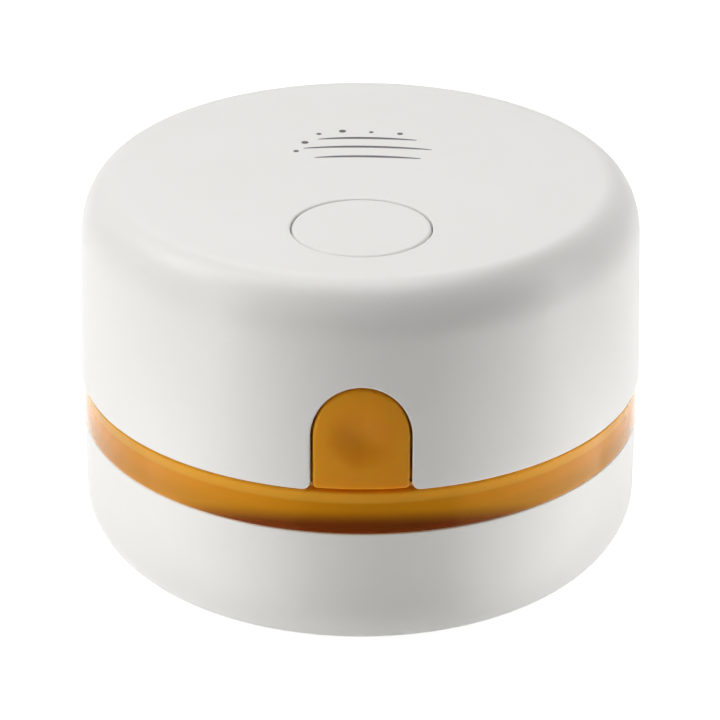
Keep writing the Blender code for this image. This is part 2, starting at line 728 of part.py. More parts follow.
def bristle_strip():
    """A curved backing whose underside is cut into cells, each drawn down to the tip of a strand."""
    shape = bmesh.new()
    rows = []
    for row in range(BRUSH_ROWS + 1):
        radius = BRUSH_RADIUS - BRUSH_WIDTH / 2 + BRUSH_WIDTH * row / BRUSH_ROWS
        points = arc((0, 0), (radius, radius), -BRUSH_ANGLE / 2, BRUSH_ANGLE / 2, BRUSH_CELLS)
        rows.append([shape.verts.new((x, y, BRUSH_BACKING_Z)) for x, y in points])
    for near, far in zip(rows, rows[1:]):
        for column in range(BRUSH_CELLS):
            corners = (near[column], far[column], far[column + 1], near[column + 1])
            shape.faces.new(corners)
    cells = list(shape.faces)
    raised = bmesh.ops.extrude_face_region(shape, geom=cells, use_keep_orig=True)["geom"]
    top = [part for part in raised if isinstance(part, bmesh.types.BMVert)]
    bmesh.ops.translate(shape, verts=top, vec=(0, 0, BRUSH_BACKING))
    bmesh.ops.recalc_face_normals(shape, faces=shape.faces)
    cells = bmesh.ops.triangulate(shape, faces=cells)["faces"]
    bmesh.ops.inset_individual(shape, faces=cells, thickness=BRISTLE_INSET)
    tips = bmesh.ops.poke(shape, faces=cells, offset=BRUSH_BACKING_Z - GAP)["verts"]
    for tip in tips:
        outward = Vector((tip.co.x, tip.co.y, 0))
        tip.co += outward * ((outward.length - BRUSH_RADIUS) / BRUSH_RADIUS * BRISTLE_SPLAY_SHARE)
    bmesh.ops.recalc_face_normals(shape, faces=shape.faces)
    return shape


def build_brushes(material, parent):
    for number in range(BRUSH_COUNT):
        angle = 2 * math.pi * number / BRUSH_COUNT
        add_piece(f"brush_strip_{number + 1}", swung(bristle_strip(), angle), material, parent)


def build_feet(material, parent):
    outline = [
        (0, 0),
        (FOOT_RADIUS - FOOT_EDGE, 0),
        (FOOT_RADIUS, FOOT_EDGE),
        (FOOT_RADIUS, FLOOR_GAP + FOOT_SINK),
        (0, FLOOR_GAP + FOOT_SINK),
    ]
    for number, place in enumerate(foot_places()):
        foot = turned(outline, POST_SEGMENTS, place)
        add_piece(f"glide_foot_{number + 1}", foot, material, parent, (*place, 0))


def build_base_screws(material, parent):
    seat = FLOOR_GAP + SCREW_HEAD_HEIGHT
    for number, place in enumerate(base_screw_places()):
        shape = moved(screw(BASE_SCREW_LENGTH), Matrix.Translation((*place, seat)))
        add_piece(f"base_screw_{number + 1}", shape, material, parent, (*place, seat))


def build_inner_frame(material, parent):
    """The chassis: a spigot that fits the cup, a plate with the fan's intake, the fan chamber with
    two exhaust ducts, and the bosses, stand-offs and latch post that stand on the plate."""
    outline = [
        (INTAKE_RADIUS, FRAME_PLATE_Z),
        (SPIGOT_INNER, FRAME_PLATE_Z),
        (SPIGOT_INNER, SPIGOT_BOTTOM_Z),
        (SPIGOT_OUTER, SPIGOT_BOTTOM_Z),
        (SPIGOT_OUTER, FRAME_TOP_Z),
        (SCROLL_OUTER, FRAME_TOP_Z),
        (SCROLL_OUTER, SCROLL_TOP_Z),
        (SCROLL_RADIUS, SCROLL_TOP_Z),
        (SCROLL_RADIUS, FRAME_TOP_Z),
        (INTAKE_RADIUS, FRAME_TOP_Z),
    ]
    piece = add_piece("inner_frame", turned(outline, INNER_SEGMENTS), material, parent)
    root = FRAME_TOP_Z - FRAME_PLATE_THICKNESS / 2
    cover_places = [on_circle(COVER_BOLT_CIRCLE, angle) for angle in COVER_BOLT_ANGLES]
    bosses = [post(BOSS_RADIUS, root, SCROLL_TOP_Z, place, POST_SEGMENTS) for place in cover_places]
    post_half = LATCH_WIDTH / 2 + GAP
    latch_post = block(
        (-post_half, LATCH_POST_Y, root),
        (post_half, LATCH_POST_Y + LATCH_POST_DEPTH, LATCH_TOP_Z + GAP),
    )
    stand_x = BOARD_WIDTH / 2 - STAND_RADIUS - GAP
    stand_y = BOARD_BACK_Y - BOARD_DEPTH / 2
    stand_top = FRAME_TOP_Z + STAND_HEIGHT
    stands = [
        post(STAND_RADIUS, root, stand_top, (side * stand_x, stand_y), POST_SEGMENTS)
        for side in (-1, 1)
    ]
    fuse(piece, "bosses", latch_post, *bosses, *stands, *duct_walls(root))
    outlets = []
    for side in (-1, 1):
        outlet = block(
            (SCROLL_RADIUS - OVERRUN, -DUCT_MOUTH / 2, FRAME_TOP_Z),
            (SCROLL_OUTER + OVERRUN, DUCT_MOUTH / 2, SCROLL_TOP_Z + OVERRUN),
        )
        outlets.append(swung(outlet, math.pi / 2 + side * (math.pi / 2 - DUCT_ANGLE)))
    bores = [
        post(SCREW_HOLE, root, SCROLL_TOP_Z + OVERRUN, place, SCREW_SEGMENTS)
        for place in cover_places
    ]
    holes = [
        post(
            SCREW_HOLE,
            FRAME_PLATE_Z - OVERRUN,
            FRAME_TOP_Z + OVERRUN,
            on_circle(FRAME_BOLT_CIRCLE, angle),
            SCREW_SEGMENTS,
        )
        for angle in FRAME_BOLT_ANGLES
    ]
    cut(piece, "holes", latch_relief(), latch_bore(), *outlets, *bores, *holes)
    cut(piece, "latch_notch", latch_notch())
    cut(piece, "release_pocket", release_pocket())
    return piece


def duct_walls(root):
    """Two straight walls beside each exhaust duct, from the fan chamber to the shell."""
    walls = []
    for side in (-1, 1):
        for edge in (-1, 1):
            wall = block(
                (SCROLL_OUTER - SCROLL_WALL / 2, -THIN_WALL / 2, root),
                (SPIGOT_OUTER - GAP, THIN_WALL / 2, SCROLL_TOP_Z),
            )
            angle = math.pi / 2 + side * (math.pi / 2 - DUCT_ANGLE) + edge * DUCT_SPREAD
            walls.append(swung(wall, angle))
    return walls


def latch_notch():
    """The slot in the plate's edge that the latch spring passes through."""
    half = LATCH_WIDTH / 2 + 2 * GAP
    return block(
        (-half, -SPIGOT_INNER, FRAME_PLATE_Z - OVERRUN),
        (half, -FILTER_FLAT, FRAME_TOP_Z + OVERRUN),
    )


def latch_relief():
    """The hollow in the foot of the latch post that leaves the spring room to bend."""
    half = LATCH_WIDTH / 2 + 2 * GAP
    return block(
        (-half, LATCH_POST_Y - OVERRUN, FRAME_TOP_Z),
        (half, LATCH_POST_Y + LATCH_POST_RELIEF, LATCH_POST_RELIEF_TOP_Z),
    )


def latch_bore():
    bore = post(SCREW_HOLE, 0, LATCH_SCREW_LENGTH + OVERRUN, (0, 0), SCREW_SEGMENTS)
    turn = Matrix.Rotation(-math.pi / 2, 4, "X")
    return moved(bore, Matrix.Translation((0, LATCH_POST_Y - OVERRUN, LATCH_SCREW_Z)) @ turn)


def release_pocket():
    """Room behind the release button, above the stretch of spigot that shows through the cup."""
    half = TAB_HALF_WIDTH + TAB_FLANGE + 2 * GAP
    return block(
        (-half, -SPIGOT_OUTER - OVERRUN, SHELL_EDGE_Z),
        (half, TAB_FLANGE_BACK_Y + TAB_TRAVEL + GAP, FRAME_TOP_Z + OVERRUN),
    )


def build_fan_cover(material, parent):
    """The lid of the fan chamber and ducts, which carries the motor and the battery's cradle."""
    disc = post(COVER_RADIUS, COVER_Z, COVER_TOP_Z, segments=MIDDLE_SEGMENTS)
    piece = add_piece("fan_cover", disc, material, parent)
    ears = [
        post(BOSS_RADIUS, COVER_Z, COVER_TOP_Z, on_circle(COVER_BOLT_CIRCLE, angle), POST_SEGMENTS)
        for angle in COVER_BOLT_ANGLES
    ]
    fuse(piece, "ears", *ears)
    spread = 2 * DUCT_SPREAD + THIN_WALL / COVER_RADIUS
    lid_inner = COVER_RADIUS - OVERRUN
    lids = [
        swung(
            sector(lid_inner, SPIGOT_OUTER - GAP, spread, COVER_Z, COVER_TOP_Z, CHANNEL_STEPS),
            math.pi / 2 + side * (math.pi / 2 - DUCT_ANGLE),
        )
        for side in (-1, 1)
    ]
    fuse(piece, "lids", *lids)
    half = CELL_RADIUS + GAP + THIN_WALL
    cradle_x = CELL_LENGTH / 2 * CRADLE_PLACE_SHARE
    cradle_top = COVER_TOP_Z + CELL_RADIUS * CRADLE_RISE_SHARE
    cradles = [
        block(
            (side * cradle_x - CRADLE_WIDTH / 2, CELL_Y - half, COVER_Z + COVER_THICKNESS / 2),
            (side * cradle_x + CRADLE_WIDTH / 2, CELL_Y + half, cradle_top),
        )
        for side in (-1, 1)
    ]
    fuse(piece, "cradles", *cradles)
    trough = along_x(CELL_RADIUS + GAP, -CELL_LENGTH / 2, CELL_LENGTH / 2)
    low = COVER_Z - OVERRUN
    high = COVER_TOP_Z + OVERRUN
    nose_hole = post(MOTOR_NOSE_RADIUS + GAP, low, high)
    bolt_holes = [
        post(SCREW_HOLE, low, high, on_circle(COVER_BOLT_CIRCLE, angle), SCREW_SEGMENTS)
        for angle in COVER_BOLT_ANGLES
    ]
    sink = COVER_Z + SCREW_HEAD_HEIGHT + GAP
    motor_holes = [
        countersink(low, sink, high, (side * MOTOR_SCREW_CIRCLE, 0)) for side in (-1, 1)
    ]
    cut(piece, "holes", trough, nose_hole, *bolt_holes, *motor_holes)
    return piece


def along_x(radius, start, end):
    """A cylinder on the battery's axis."""
    shape = post(radius, start, end)
    turn = Matrix.Rotation(math.pi / 2, 4, "Y")
    return moved(shape, Matrix.Translation((0, CELL_Y, CELL_Z)) @ turn)


def build_impeller(material, parent):
    """A back disc on a hub, with swept blades below it that fling the air outwards."""
    bore = SHAFT_RADIUS + SHAFT_GAP
    outline = [
        (bore, FAN_Z),
        (FAN_HUB_RADIUS, FAN_Z),
        (FAN_HUB_RADIUS, FAN_DISC_Z - FAN_DISC),
        (FAN_HUB_RADIUS + FAN_DISC, FAN_DISC_Z),
        (FAN_RADIUS, FAN_DISC_Z),
        (FAN_RADIUS, FAN_TOP_Z),
        (bore, FAN_TOP_Z),
    ]
    centre = (0, 0, FAN_Z)
    piece = add_piece("impeller", turned(outline, MIDDLE_SEGMENTS), material, parent, centre)
    blades = [swung(fan_blade(), 2 * math.pi * number / FAN_BLADES) for number in range(FAN_BLADES)]
    fuse(piece, "blades", *blades)
    return piece


def fan_blade():
    """A blade of even thickness whose mid line sweeps back as it runs out from the eye."""
    front = []
    back = []
    for step in range(FAN_BLADE_STEPS + 1):
        share = step / FAN_BLADE_STEPS
        radius = FAN_EYE_RADIUS + (FAN_RADIUS - FAN_DISC / 2 - FAN_EYE_RADIUS) * share
        angle = FAN_BLADE_SWEEP * share**FAN_SWEEP_POWER
        half = FAN_BLADE_WALL / 2 / radius
        front.append(on_circle(radius, angle + half))
        back.append(on_circle(radius, angle - half))
    return prism(front + back[::-1], FAN_Z, FAN_DISC_Z + FAN_DISC / 2)


def build_motor_shaft(material, parent):
    outline = [
        (0, FAN_Z),
        (SHAFT_RADIUS, FAN_Z),
        (SHAFT_RADIUS, MOTOR_Z + MOTOR_LENGTH / 2 - GAP),
        (0, MOTOR_Z + MOTOR_LENGTH / 2 - GAP),
    ]
    return add_piece("motor_shaft", turned(outline, POST_SEGMENTS), material, parent, (0, 0, FAN_Z))


def build_motor(steel, plastic, foam, parent):
    """A flat drawn-steel can, nose down through the cover, with its moulded end cap and foam pad."""
    nose_bottom = COVER_Z + GAP
    shaft_hole = SHAFT_RADIUS + GAP
    outline = [
        (shaft_hole, nose_bottom),
        (MOTOR_NOSE_RADIUS, nose_bottom),
        (MOTOR_NOSE_RADIUS, MOTOR_Z),
        (MOTOR_RADIUS - MOTOR_EDGE, MOTOR_Z),
        (MOTOR_RADIUS, MOTOR_Z + MOTOR_EDGE),
        (MOTOR_RADIUS, MOTOR_TOP_Z),
        (0, MOTOR_TOP_Z),
        (0, MOTOR_Z + MOTOR_LENGTH / 2),
        (shaft_hole, MOTOR_Z + MOTOR_LENGTH / 2),
    ]
    can = add_piece("motor_can", turned(outline, MIDDLE_SEGMENTS), steel, parent)
    hole_top = MOTOR_Z + MOTOR_SCREW_LENGTH
    holes = [
        post(SCREW_HOLE, MOTOR_Z - OVERRUN, hole_top, (side * MOTOR_SCREW_CIRCLE, 0), SCREW_SEGMENTS)
        for side in (-1, 1)
    ]
    cut(can, "screw_holes", *holes)
    cap_radius = MOTOR_RADIUS - MOTOR_CAP_INSET
    cap = [
        (0, MOTOR_CAP_Z),
        (cap_radius, MOTOR_CAP_Z),
        (cap_radius, MOTOR_CAP_TOP_Z - MOTOR_CAP_INSET),
        (cap_radius - MOTOR_CAP_INSET, MOTOR_CAP_TOP_Z),
        (0, MOTOR_CAP_TOP_Z),
    ]
    add_piece("motor_end_cap", turned(cap, MIDDLE_SEGMENTS), plastic, parent)
    pad = [
        (PAD_INNER_RADIUS, PAD_Z),
        (PAD_OUTER_RADIUS, PAD_Z),
        (PAD_OUTER_RADIUS, PAD_Z + PAD_THICKNESS),
        (PAD_INNER_RADIUS, PAD_Z + PAD_THICKNESS),
    ]
    add_piece("motor_pad", turned(pad, SMALL_SEGMENTS), foam, parent)


def build_unit_screws(material, parent):
    """Frame screws up into the shell's posts, cover screws down, motor screws up, latch screw back."""
    seat = FRAME_PLATE_Z - GAP
    for number, angle in enumerate(FRAME_BOLT_ANGLES):
        place = (*on_circle(FRAME_BOLT_CIRCLE, angle), seat)
        shape = moved(screw(LONG_SCREW_LENGTH), Matrix.Translation(place))
        add_piece(f"frame_screw_{number + 1}", shape, material, parent, place)
    upside_down = Matrix.Rotation(math.pi, 4, "X")
    for number, angle in enumerate(COVER_BOLT_ANGLES):
        place = (*on_circle(COVER_BOLT_CIRCLE, angle), COVER_TOP_Z + GAP)
        shape = moved(screw(COVER_SCREW_LENGTH), Matrix.Translation(place) @ upside_down)
        add_piece(f"cover_screw_{number + 1}", shape, material, parent, place)
    for number, side in enumerate((-1, 1)):
        place = (side * MOTOR_SCREW_CIRCLE, 0, COVER_Z + SCREW_HEAD_HEIGHT)
        shape = moved(screw(MOTOR_SCREW_LENGTH), Matrix.Translation(place))
        add_piece(f"motor_screw_{number + 1}", shape, material, parent, place)
    place = (0, LATCH_CLAMP_Y - LATCH_THICKNESS / 2 - GAP, LATCH_SCREW_Z)
    turn = Matrix.Rotation(-math.pi / 2, 4, "X")
    shape = moved(screw(LATCH_SCREW_LENGTH), Matrix.Translation(place) @ turn)
    add_piece("latch_screw", shape, material, parent, place)


def build_battery(wrap, nickel, parent):
    """A wrapped round cell lying across the unit, with a welded nickel tab on each end."""
    half = CELL_LENGTH / 2
    outline = [
        (0, -half),
        (CELL_RADIUS - CELL_EDGE, -half),
        (CELL_RADIUS, -half + CELL_EDGE),
        (CELL_RADIUS, half - CELL_NUB - CELL_EDGE),
        (CELL_RADIUS - CELL_EDGE, half - CELL_NUB),
        (CELL_NUB_RADIUS, half - CELL_NUB),
        (CELL_NUB_RADIUS, half),
        (0, half),
    ]
    turn = Matrix.Translation((0, CELL_Y, CELL_Z)) @ Matrix.Rotation(math.pi / 2, 4, "Y")
    place = (0, CELL_Y, CELL_Z)
    add_piece("battery_cell", moved(turned(outline, SMALL_SEGMENTS), turn), wrap, parent, place)
    for number, side in enumerate((-1, 1)):
        near = side * (half + GAP)
        far = side * (half + GAP + TAB_THICKNESS)
        tab = block(
            (min(near, far), CELL_Y - TAB_WIDTH / 2, CELL_Z - TAB_WIDTH),
            (max(near, far), CELL_Y + TAB_WIDTH / 2, CELL_Z + TAB_WIDTH / 2),
        )
        add_piece(f"battery_tab_{number + 1}", tab, nickel, parent)


def build_board(laminate, steel, parent):
    """The charging board on its stand-offs, with the socket's rounded steel shell and tongue."""
    board = block(
        (-BOARD_WIDTH / 2, BOARD_BACK_Y - BOARD_DEPTH, BOARD_Z),
        (BOARD_WIDTH / 2, BOARD_BACK_Y, BOARD_TOP_Z),
    )
    add_piece("charge_board", board, laminate, parent)
    front = USB_BACK_Y - USB_DEPTH
    shell = through_front(stadium(USB_WIDTH, USB_HEIGHT, USB_Z), front, USB_BACK_Y)
    socket = add_piece("usb_socket", shell, steel, parent)
    inside = stadium(USB_WIDTH - 2 * USB_WALL, USB_HEIGHT - 2 * USB_WALL, USB_Z)
    cut(socket, "mouth", through_front(inside, front + 2 * USB_WALL, USB_BACK_Y + OVERRUN))
    tongue_half = USB_WIDTH / 2 - USB_HEIGHT / 2
    tongue = block(
        (-tongue_half, front + USB_WALL, USB_Z - USB_TONGUE / 2),
        (tongue_half, USB_BACK_Y - USB_TONGUE, USB_Z + USB_TONGUE / 2),
    )
    fuse(socket, "tongue", tongue)


def build_switch(material, parent):
    """The latching push switch under the power button, with the well that its plunger slides in."""
    half = SWITCH_SIDE / 2
    body = block(
        (-half, -BUTTON_OFFSET - half, SWITCH_Z),
        (half, -BUTTON_OFFSET + half, SWITCH_TOP_Z),
    )
    piece = add_piece("push_switch", body, material, parent)
    well = PLUNGER_SIDE / 2 + GAP
    depth = PLUNGER_SUNK + BUTTON_TRAVEL + 2 * GAP
    cut(
        piece,
        "well",
        block(
            (-well, -BUTTON_OFFSET - well, SWITCH_TOP_Z - depth),
            (well, -BUTTON_OFFSET + well, SWITCH_TOP_Z + OVERRUN),
        ),
    )


def build_power_button(cap_material, plunger_material, parent):
    """The round cap with its retaining flange and stem, and the plunger that it presses."""
    flange_top = CEILING_Z - GAP
    flange_bottom = flange_top - BUTTON_FLANGE_THICKNESS
    under_skin = BODY_HEIGHT - BUTTON_SKIN
    stem_bottom = PLUNGER_TOP_Z + GAP
    outline = [
        (0, BODY_HEIGHT),
        (BUTTON_RADIUS - BUTTON_EDGE, BODY_HEIGHT),
        (BUTTON_RADIUS, BODY_HEIGHT - BUTTON_EDGE),
        (BUTTON_RADIUS, flange_top),
        (BUTTON_RADIUS + BUTTON_FLANGE, flange_top),
        (BUTTON_RADIUS + BUTTON_FLANGE, flange_bottom),
        (BUTTON_RADIUS - THIN_WALL, flange_bottom),
        (BUTTON_RADIUS - THIN_WALL, under_skin),
        (BUTTON_STEM_RADIUS, under_skin),
        (BUTTON_STEM_RADIUS, stem_bottom),
        (0, stem_bottom),
    ]
    axis = (0, -BUTTON_OFFSET)
    cap = turned(outline, MIDDLE_SEGMENTS, axis)
    add_piece("power_button", cap, cap_material, parent, (*axis, BODY_HEIGHT))
    half = PLUNGER_SIDE / 2
    plunger = block(
        (-half, -BUTTON_OFFSET - half, SWITCH_TOP_Z - PLUNGER_SUNK),
        (half, -BUTTON_OFFSET + half, PLUNGER_TOP_Z),
    )
    add_piece("switch_plunger", plunger, plunger_material, parent, (*axis, PLUNGER_TOP_Z))


def build_release_button(material, parent):
    """The arched tab, curved to the shell, with a thumb dimple, a flange behind the shell's wall and
    a stem that pushes the latch spring in."""
    bottom = SHELL_EDGE_Z + GAP
    front = -BODY_RADIUS - OVERRUN
    origin = (0, TAB_FLANGE_Y, DIMPLE_Z)
    tab = through_front(arch_outline(0, bottom), front, TAB_FLANGE_Y + TAB_FLANGE_THICKNESS / 2)
    piece = add_piece("release_button", tab, material, parent, origin)
    outer_low = shell_radius(bottom) - TAB_RECESS
    outer_high = shell_radius(TAB_TOP_Z + OVERRUN) - TAB_RECESS
    skin = [
        (0, bottom - OVERRUN),
        (outer_low, bottom - OVERRUN),
        (outer_low, bottom),
        (outer_high, TAB_TOP_Z + OVERRUN),
        (0, TAB_TOP_Z + OVERRUN),
    ]
    add_boolean(piece, "curve", "INTERSECT", [turned(skin, ROUND_SEGMENTS)])
    flange = through_front(arch_outline(TAB_FLANGE, bottom + GAP), TAB_FLANGE_Y, TAB_FLANGE_BACK_Y)
    fuse(piece, "flange", flange)
    stem_z = bottom + STEM_HEIGHT
    stem = block(
        (-STEM_HALF_WIDTH, TAB_FLANGE_BACK_Y - TAB_FLANGE_THICKNESS / 2, stem_z - STEM_HEIGHT / 2),
        (STEM_HALF_WIDTH, LATCH_Y - LATCH_THICKNESS / 2 - GAP, stem_z + STEM_HEIGHT / 2),
    )
    fuse(piece, "stem", stem)
    ball = (DIMPLE_RADIUS**2 + DIMPLE_DEPTH**2) / (2 * DIMPLE_DEPTH)
    dimple = bmesh.new()
    bmesh.ops.create_uvsphere(dimple, u_segments=SMALL_SEGMENTS, v_segments=MIDDLE_SEGMENTS, radius=ball)
    face = shell_radius(DIMPLE_Z) - TAB_RECESS
    turn = Matrix.Rotation(math.pi / 2, 4, "X")
    place = Matrix.Translation((0, -(face - DIMPLE_DEPTH + ball), DIMPLE_Z))
    cut(piece, "dimple", moved(dimple, place @ turn))
    return piece


def build_latch_spring(material, parent):
    """A bent strip of spring steel: clamped at its top, joggled forward, with a nose at its foot that
    hooks under the cup's catch."""
    path = [
        (LATCH_CLAMP_Y, LATCH_TOP_Z),
        (LATCH_CLAMP_Y, LATCH_BEND_Z),
        (LATCH_Y, LATCH_FOOT_Z),
        (LATCH_Y, LATCH_NOSE_Z),
        (-(CUP_RIM_INNER - 2 * GAP), LATCH_NOSE_Z),
    ]
    outline = ribbon(path, LATCH_THICKNESS)
    shape = prism(outline, -LATCH_WIDTH / 2, LATCH_WIDTH / 2)
    upright = Matrix(((0, 0, 1, 0), (1, 0, 0, 0), (0, 1, 0, 0), (0, 0, 0, 1)))
    piece = add_piece("latch_spring", moved(shape, upright), material, parent)
    hole = post(SCREW_HOLE, -OVERRUN, OVERRUN, (0, 0), SCREW_SEGMENTS)
    turn = Matrix.Rotation(math.pi / 2, 4, "X")
    cut(piece, "hole", moved(hole, Matrix.Translation((0, LATCH_CLAMP_Y, LATCH_SCREW_Z)) @ turn))
    return piece


def ribbon(path, thickness):
    """The outline of a strip of even thickness along a bent path, mitred at its bends."""
    points = [Vector(point) for point in path]
    ways = [(end - start).normalized() for start, end in zip(points, points[1:])]
    left = []
    right = []
    for number, point in enumerate(points):
        before = ways[max(number - 1, 0)]
        after = ways[min(number, len(ways) - 1)]
        normal_before = Vector((-before.y, before.x))
        normal_after = Vector((-after.y, after.x))
        mitre = (normal_before + normal_after).normalized()
        reach = thickness / 2 / mitre.dot(normal_after)
        left.append(tuple(point + mitre * reach))
        right.append(tuple(point - mitre * reach))
    return left + right[::-1]


def flat_fronted(radius, flat):
    """A circle whose front is cut straight across, which leaves room for the latch spring."""
    start = math.asin(-flat / radius)
    return arc((0, 0), (radius, radius), start, math.pi - start, MIDDLE_SEGMENTS - 1)


def build_filter(frame_material, paper, rubber, parent):
    """The push-fit filter: a grille frame with a flat front, a pleated sheet and a seal on top."""
    bottom = SPIGOT_BOTTOM_Z + GAP + GAP
    top = bottom + FILTER_HEIGHT
    outer = SPIGOT_INNER - GAP
    inner = outer - FILTER_WALL
    flat_inner = FILTER_FLAT - FILTER_WALL
    rib_top = bottom + FILTER_RIB
    body = prism(flat_fronted(outer, FILTER_FLAT), bottom, top)
    frame = add_piece("filter_frame", body, frame_material, parent)
    hollow = prism(flat_fronted(inner, flat_inner), bottom - OVERRUN, top + OVERRUN)
    cut(frame, "hollow", hollow)
    middle = (inner + flat_inner) / 2 * FILTER_RING_SHARE
    reach = outer - FILTER_WALL / 2
    flat_reach = FILTER_FLAT - FILTER_WALL / 2
    grille = spoked_grille(middle, reach, flat_reach, bottom, rib_top)
    for label, shape in grille:
        fuse(frame, label, shape)
    media_bottom = rib_top + GAP
    media_top = top - GAP
    media = add_piece("filter_media", pleats(inner, media_bottom, media_top), paper, parent)
    edge = flat_fronted(inner - GAP, flat_inner - GAP)
    keep = prism(edge, media_bottom - OVERRUN, media_top + OVERRUN)
    add_boolean(media, "edge", "INTERSECT", [keep])
    seal_bottom = top + GAP
    seal_top = FRAME_PLATE_Z - GAP
    seal_outer = outer - GAP
    seal = prism(flat_fronted(seal_outer, FILTER_FLAT - GAP), seal_bottom, seal_top)
    gasket = add_piece("filter_gasket", seal, rubber, parent)
    seal_hole = prism(
        flat_fronted(seal_outer - GASKET_WIDTH, FILTER_FLAT - GAP - GASKET_WIDTH),
        seal_bottom - OVERRUN,
        seal_top + OVERRUN,
    )
    cut(gasket, "hole", seal_hole)


def spoked_grille(middle, reach, flat_reach, bottom, top):
    """Straight ribs across the frame, and a ring that ties them together."""
    half = FILTER_RIB / 2
    shapes = []
    for number in range(FILTER_SPOKES // 2):
        angle = math.pi * (number + 0.5) / (FILTER_SPOKES // 2)
        front = min(reach, flat_reach / math.sin(angle))
        rib = block((-front, -half, bottom), (reach, half, top))
        shapes.append((f"rib_{number + 1}", swung(rib, angle)))
    ring = [
        (middle - half, bottom),
        (middle + half, bottom),
        (middle + half, top),
        (middle - half, top),
    ]
    shapes.append(("ring", turned(ring, SMALL_SEGMENTS)))
    return shapes


def pleats(radius, bottom, top):
    """A folded sheet: a zigzag of even thickness across the frame, carried along Y."""
    pitch = 2 * radius / PLEAT_COUNT
    lift = (top - bottom) * PLEAT_WALL_SHARE
    upper = []
    lower = []
    for fold in range(2 * PLEAT_COUNT + 1):
        x = -radius - pitch / 4 + fold * (2 * radius + pitch / 2) / (2 * PLEAT_COUNT)
        crest = fold % 2
        upper.append((x, bottom + lift + crest * (top - bottom - lift)))
        lower.append((x, bottom + crest * (top - bottom - lift)))
    return through_front(upper + lower[::-1], -radius - OVERRUN, radius + OVERRUN)


def add_wire(name, points, material, parent):
    """A lead drawn as a round tube through its points, each end clear of what it is soldered to."""
    curve = bpy.data.curves.new(name, "CURVE")
    curve.dimensions = "3D"
    curve.bevel_depth = WIRE_RADIUS
    curve.bevel_resolution = 2
    curve.use_fill_caps = True
    smooth = rounded_path([Vector(point) for point in points])
    spline = curve.splines.new("POLY")
    spline.points.add(len(smooth) - 1)
    offset = parent.matrix_world.translation
    for slot, point in zip(spline.points, smooth):
        slot.co = (*(point - offset), 1)
    curve.materials.append(material)
    wire = bpy.data.objects.new(name, curve)
    bpy.context.collection.objects.link(wire)
    wire.parent = parent


def rounded_path(points):
    """Points read from a smooth curve through the route's own points."""
    ends = [points[0] * 2 - points[1]] + points + [points[-1] * 2 - points[-2]]
    smooth = []
    for before, start, end, after in zip(ends, ends[1:], ends[2:], ends[3:]):
        for step in range(WIRE_STEPS):
            t = step / WIRE_STEPS
            smooth.append(
                0.5
                * (
                    2 * start
                    + (end - before) * t
                    + (2 * before - 5 * start + 4 * end - after) * t**2
                    + (3 * start - before - 3 * end + after) * t**3
                )
            )
    return smooth + [points[-1]]


def build_wires(red, black, parent):
    """Motor leads from the end cap, and battery leads from the tabs down to the charging board."""
    add_wire("motor_lead_red", MOTOR_LEAD_RED_ROUTE, red, parent)
    add_wire("motor_lead_black", MOTOR_LEAD_BLACK_ROUTE, black, parent)
    add_wire("battery_lead_red", BATTERY_LEAD_ROUTE, red, parent)
    add_wire("battery_lead_black", [(-x, y, z) for x, y, z in BATTERY_LEAD_ROUTE], black, parent)


def build():
    clear_scene()
    white = add_material("white_abs", (0.86, 0.85, 0.83), 0.28)
    amber = add_material("clear_amber", (0.80, 0.42, 0.03), 0.08, alpha=0.55)
    amber_solid = add_material("amber_abs", (0.62, 0.36, 0.06), 0.35)
    grey = add_material("grey_abs", (0.32, 0.33, 0.34), 0.5)
    nylon = add_material("black_nylon", (0.03, 0.03, 0.035), 0.55)
    bristle = add_material("bristle_nylon", (0.10, 0.10, 0.11), 0.6)
    rubber = add_material("grey_silicone", (0.45, 0.46, 0.47), 0.7)
    paper = add_material("filter_paper", (0.80, 0.79, 0.74), 0.9)
    foam = add_material("black_foam", (0.05, 0.05, 0.05), 0.95)
    steel = add_material("zinc_steel", (0.60, 0.60, 0.61), 0.35, 1.0)
    nickel = add_material("nickel", (0.66, 0.64, 0.60), 0.3, 1.0)
    wrap = add_material("green_wrap", (0.05, 0.30, 0.16), 0.35)
    laminate = add_material("green_laminate", (0.02, 0.22, 0.10), 0.4)
    red = add_material("red_pvc", (0.60, 0.03, 0.03), 0.45)
    black = add_material("black_pvc", (0.02, 0.02, 0.02), 0.45)

    box = add_empty("dust_box_frame", (0, 0, 0))
    unit = add_empty("unit_lift_axis", (0, 0, SHELL_EDGE_Z), box)
    filter_axis = add_empty("filter_pull_axis", (0, 0, SPIGOT_BOTTOM_Z), unit)
    fan = add_empty("fan_spin_axis", (0, 0, FAN_Z), unit)
    power = add_empty("power_press_axis", (0, -BUTTON_OFFSET, BODY_HEIGHT), unit)
    release = add_empty("release_press_axis", (0, TAB_FLANGE_Y, DIMPLE_Z), unit)

    build_dust_cup(amber, box)
    build_base_ring(white, box)
    build_brush_plate(grey, box)
    build_brushes(bristle, box)
    build_feet(rubber, box)
    build_base_screws(steel, box)
    build_filter(grey, paper, rubber, filter_axis)
    build_top_shell(white, unit)
    build_inner_frame(white, unit)
    build_fan_cover(grey, unit)
    build_motor(steel, nylon, foam, unit)
    build_unit_screws(steel, unit)
    build_battery(wrap, nickel, unit)
    build_board(laminate, steel, unit)
    build_switch(nylon, unit)
    build_latch_spring(steel, unit)
    build_wires(red, black, unit)
    build_impeller(nylon, fan)
    build_motor_shaft(steel, fan)
    build_power_button(white, nylon, power)
    build_release_button(amber_solid, release)


build()
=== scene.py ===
"""The looks of a desktop mini vacuum cleaner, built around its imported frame.

Each piece of the object has its own operator; the panel in the 3D view's sidebar lists them.
Lengths are in metres, +Z is up and the front with the amber tab looks along -Y.
"""

import math

import bmesh
import bpy
import numpy as np
from bpy.props import FloatProperty, IntProperty, PointerProperty, StringProperty
from mathutils import Matrix, Vector


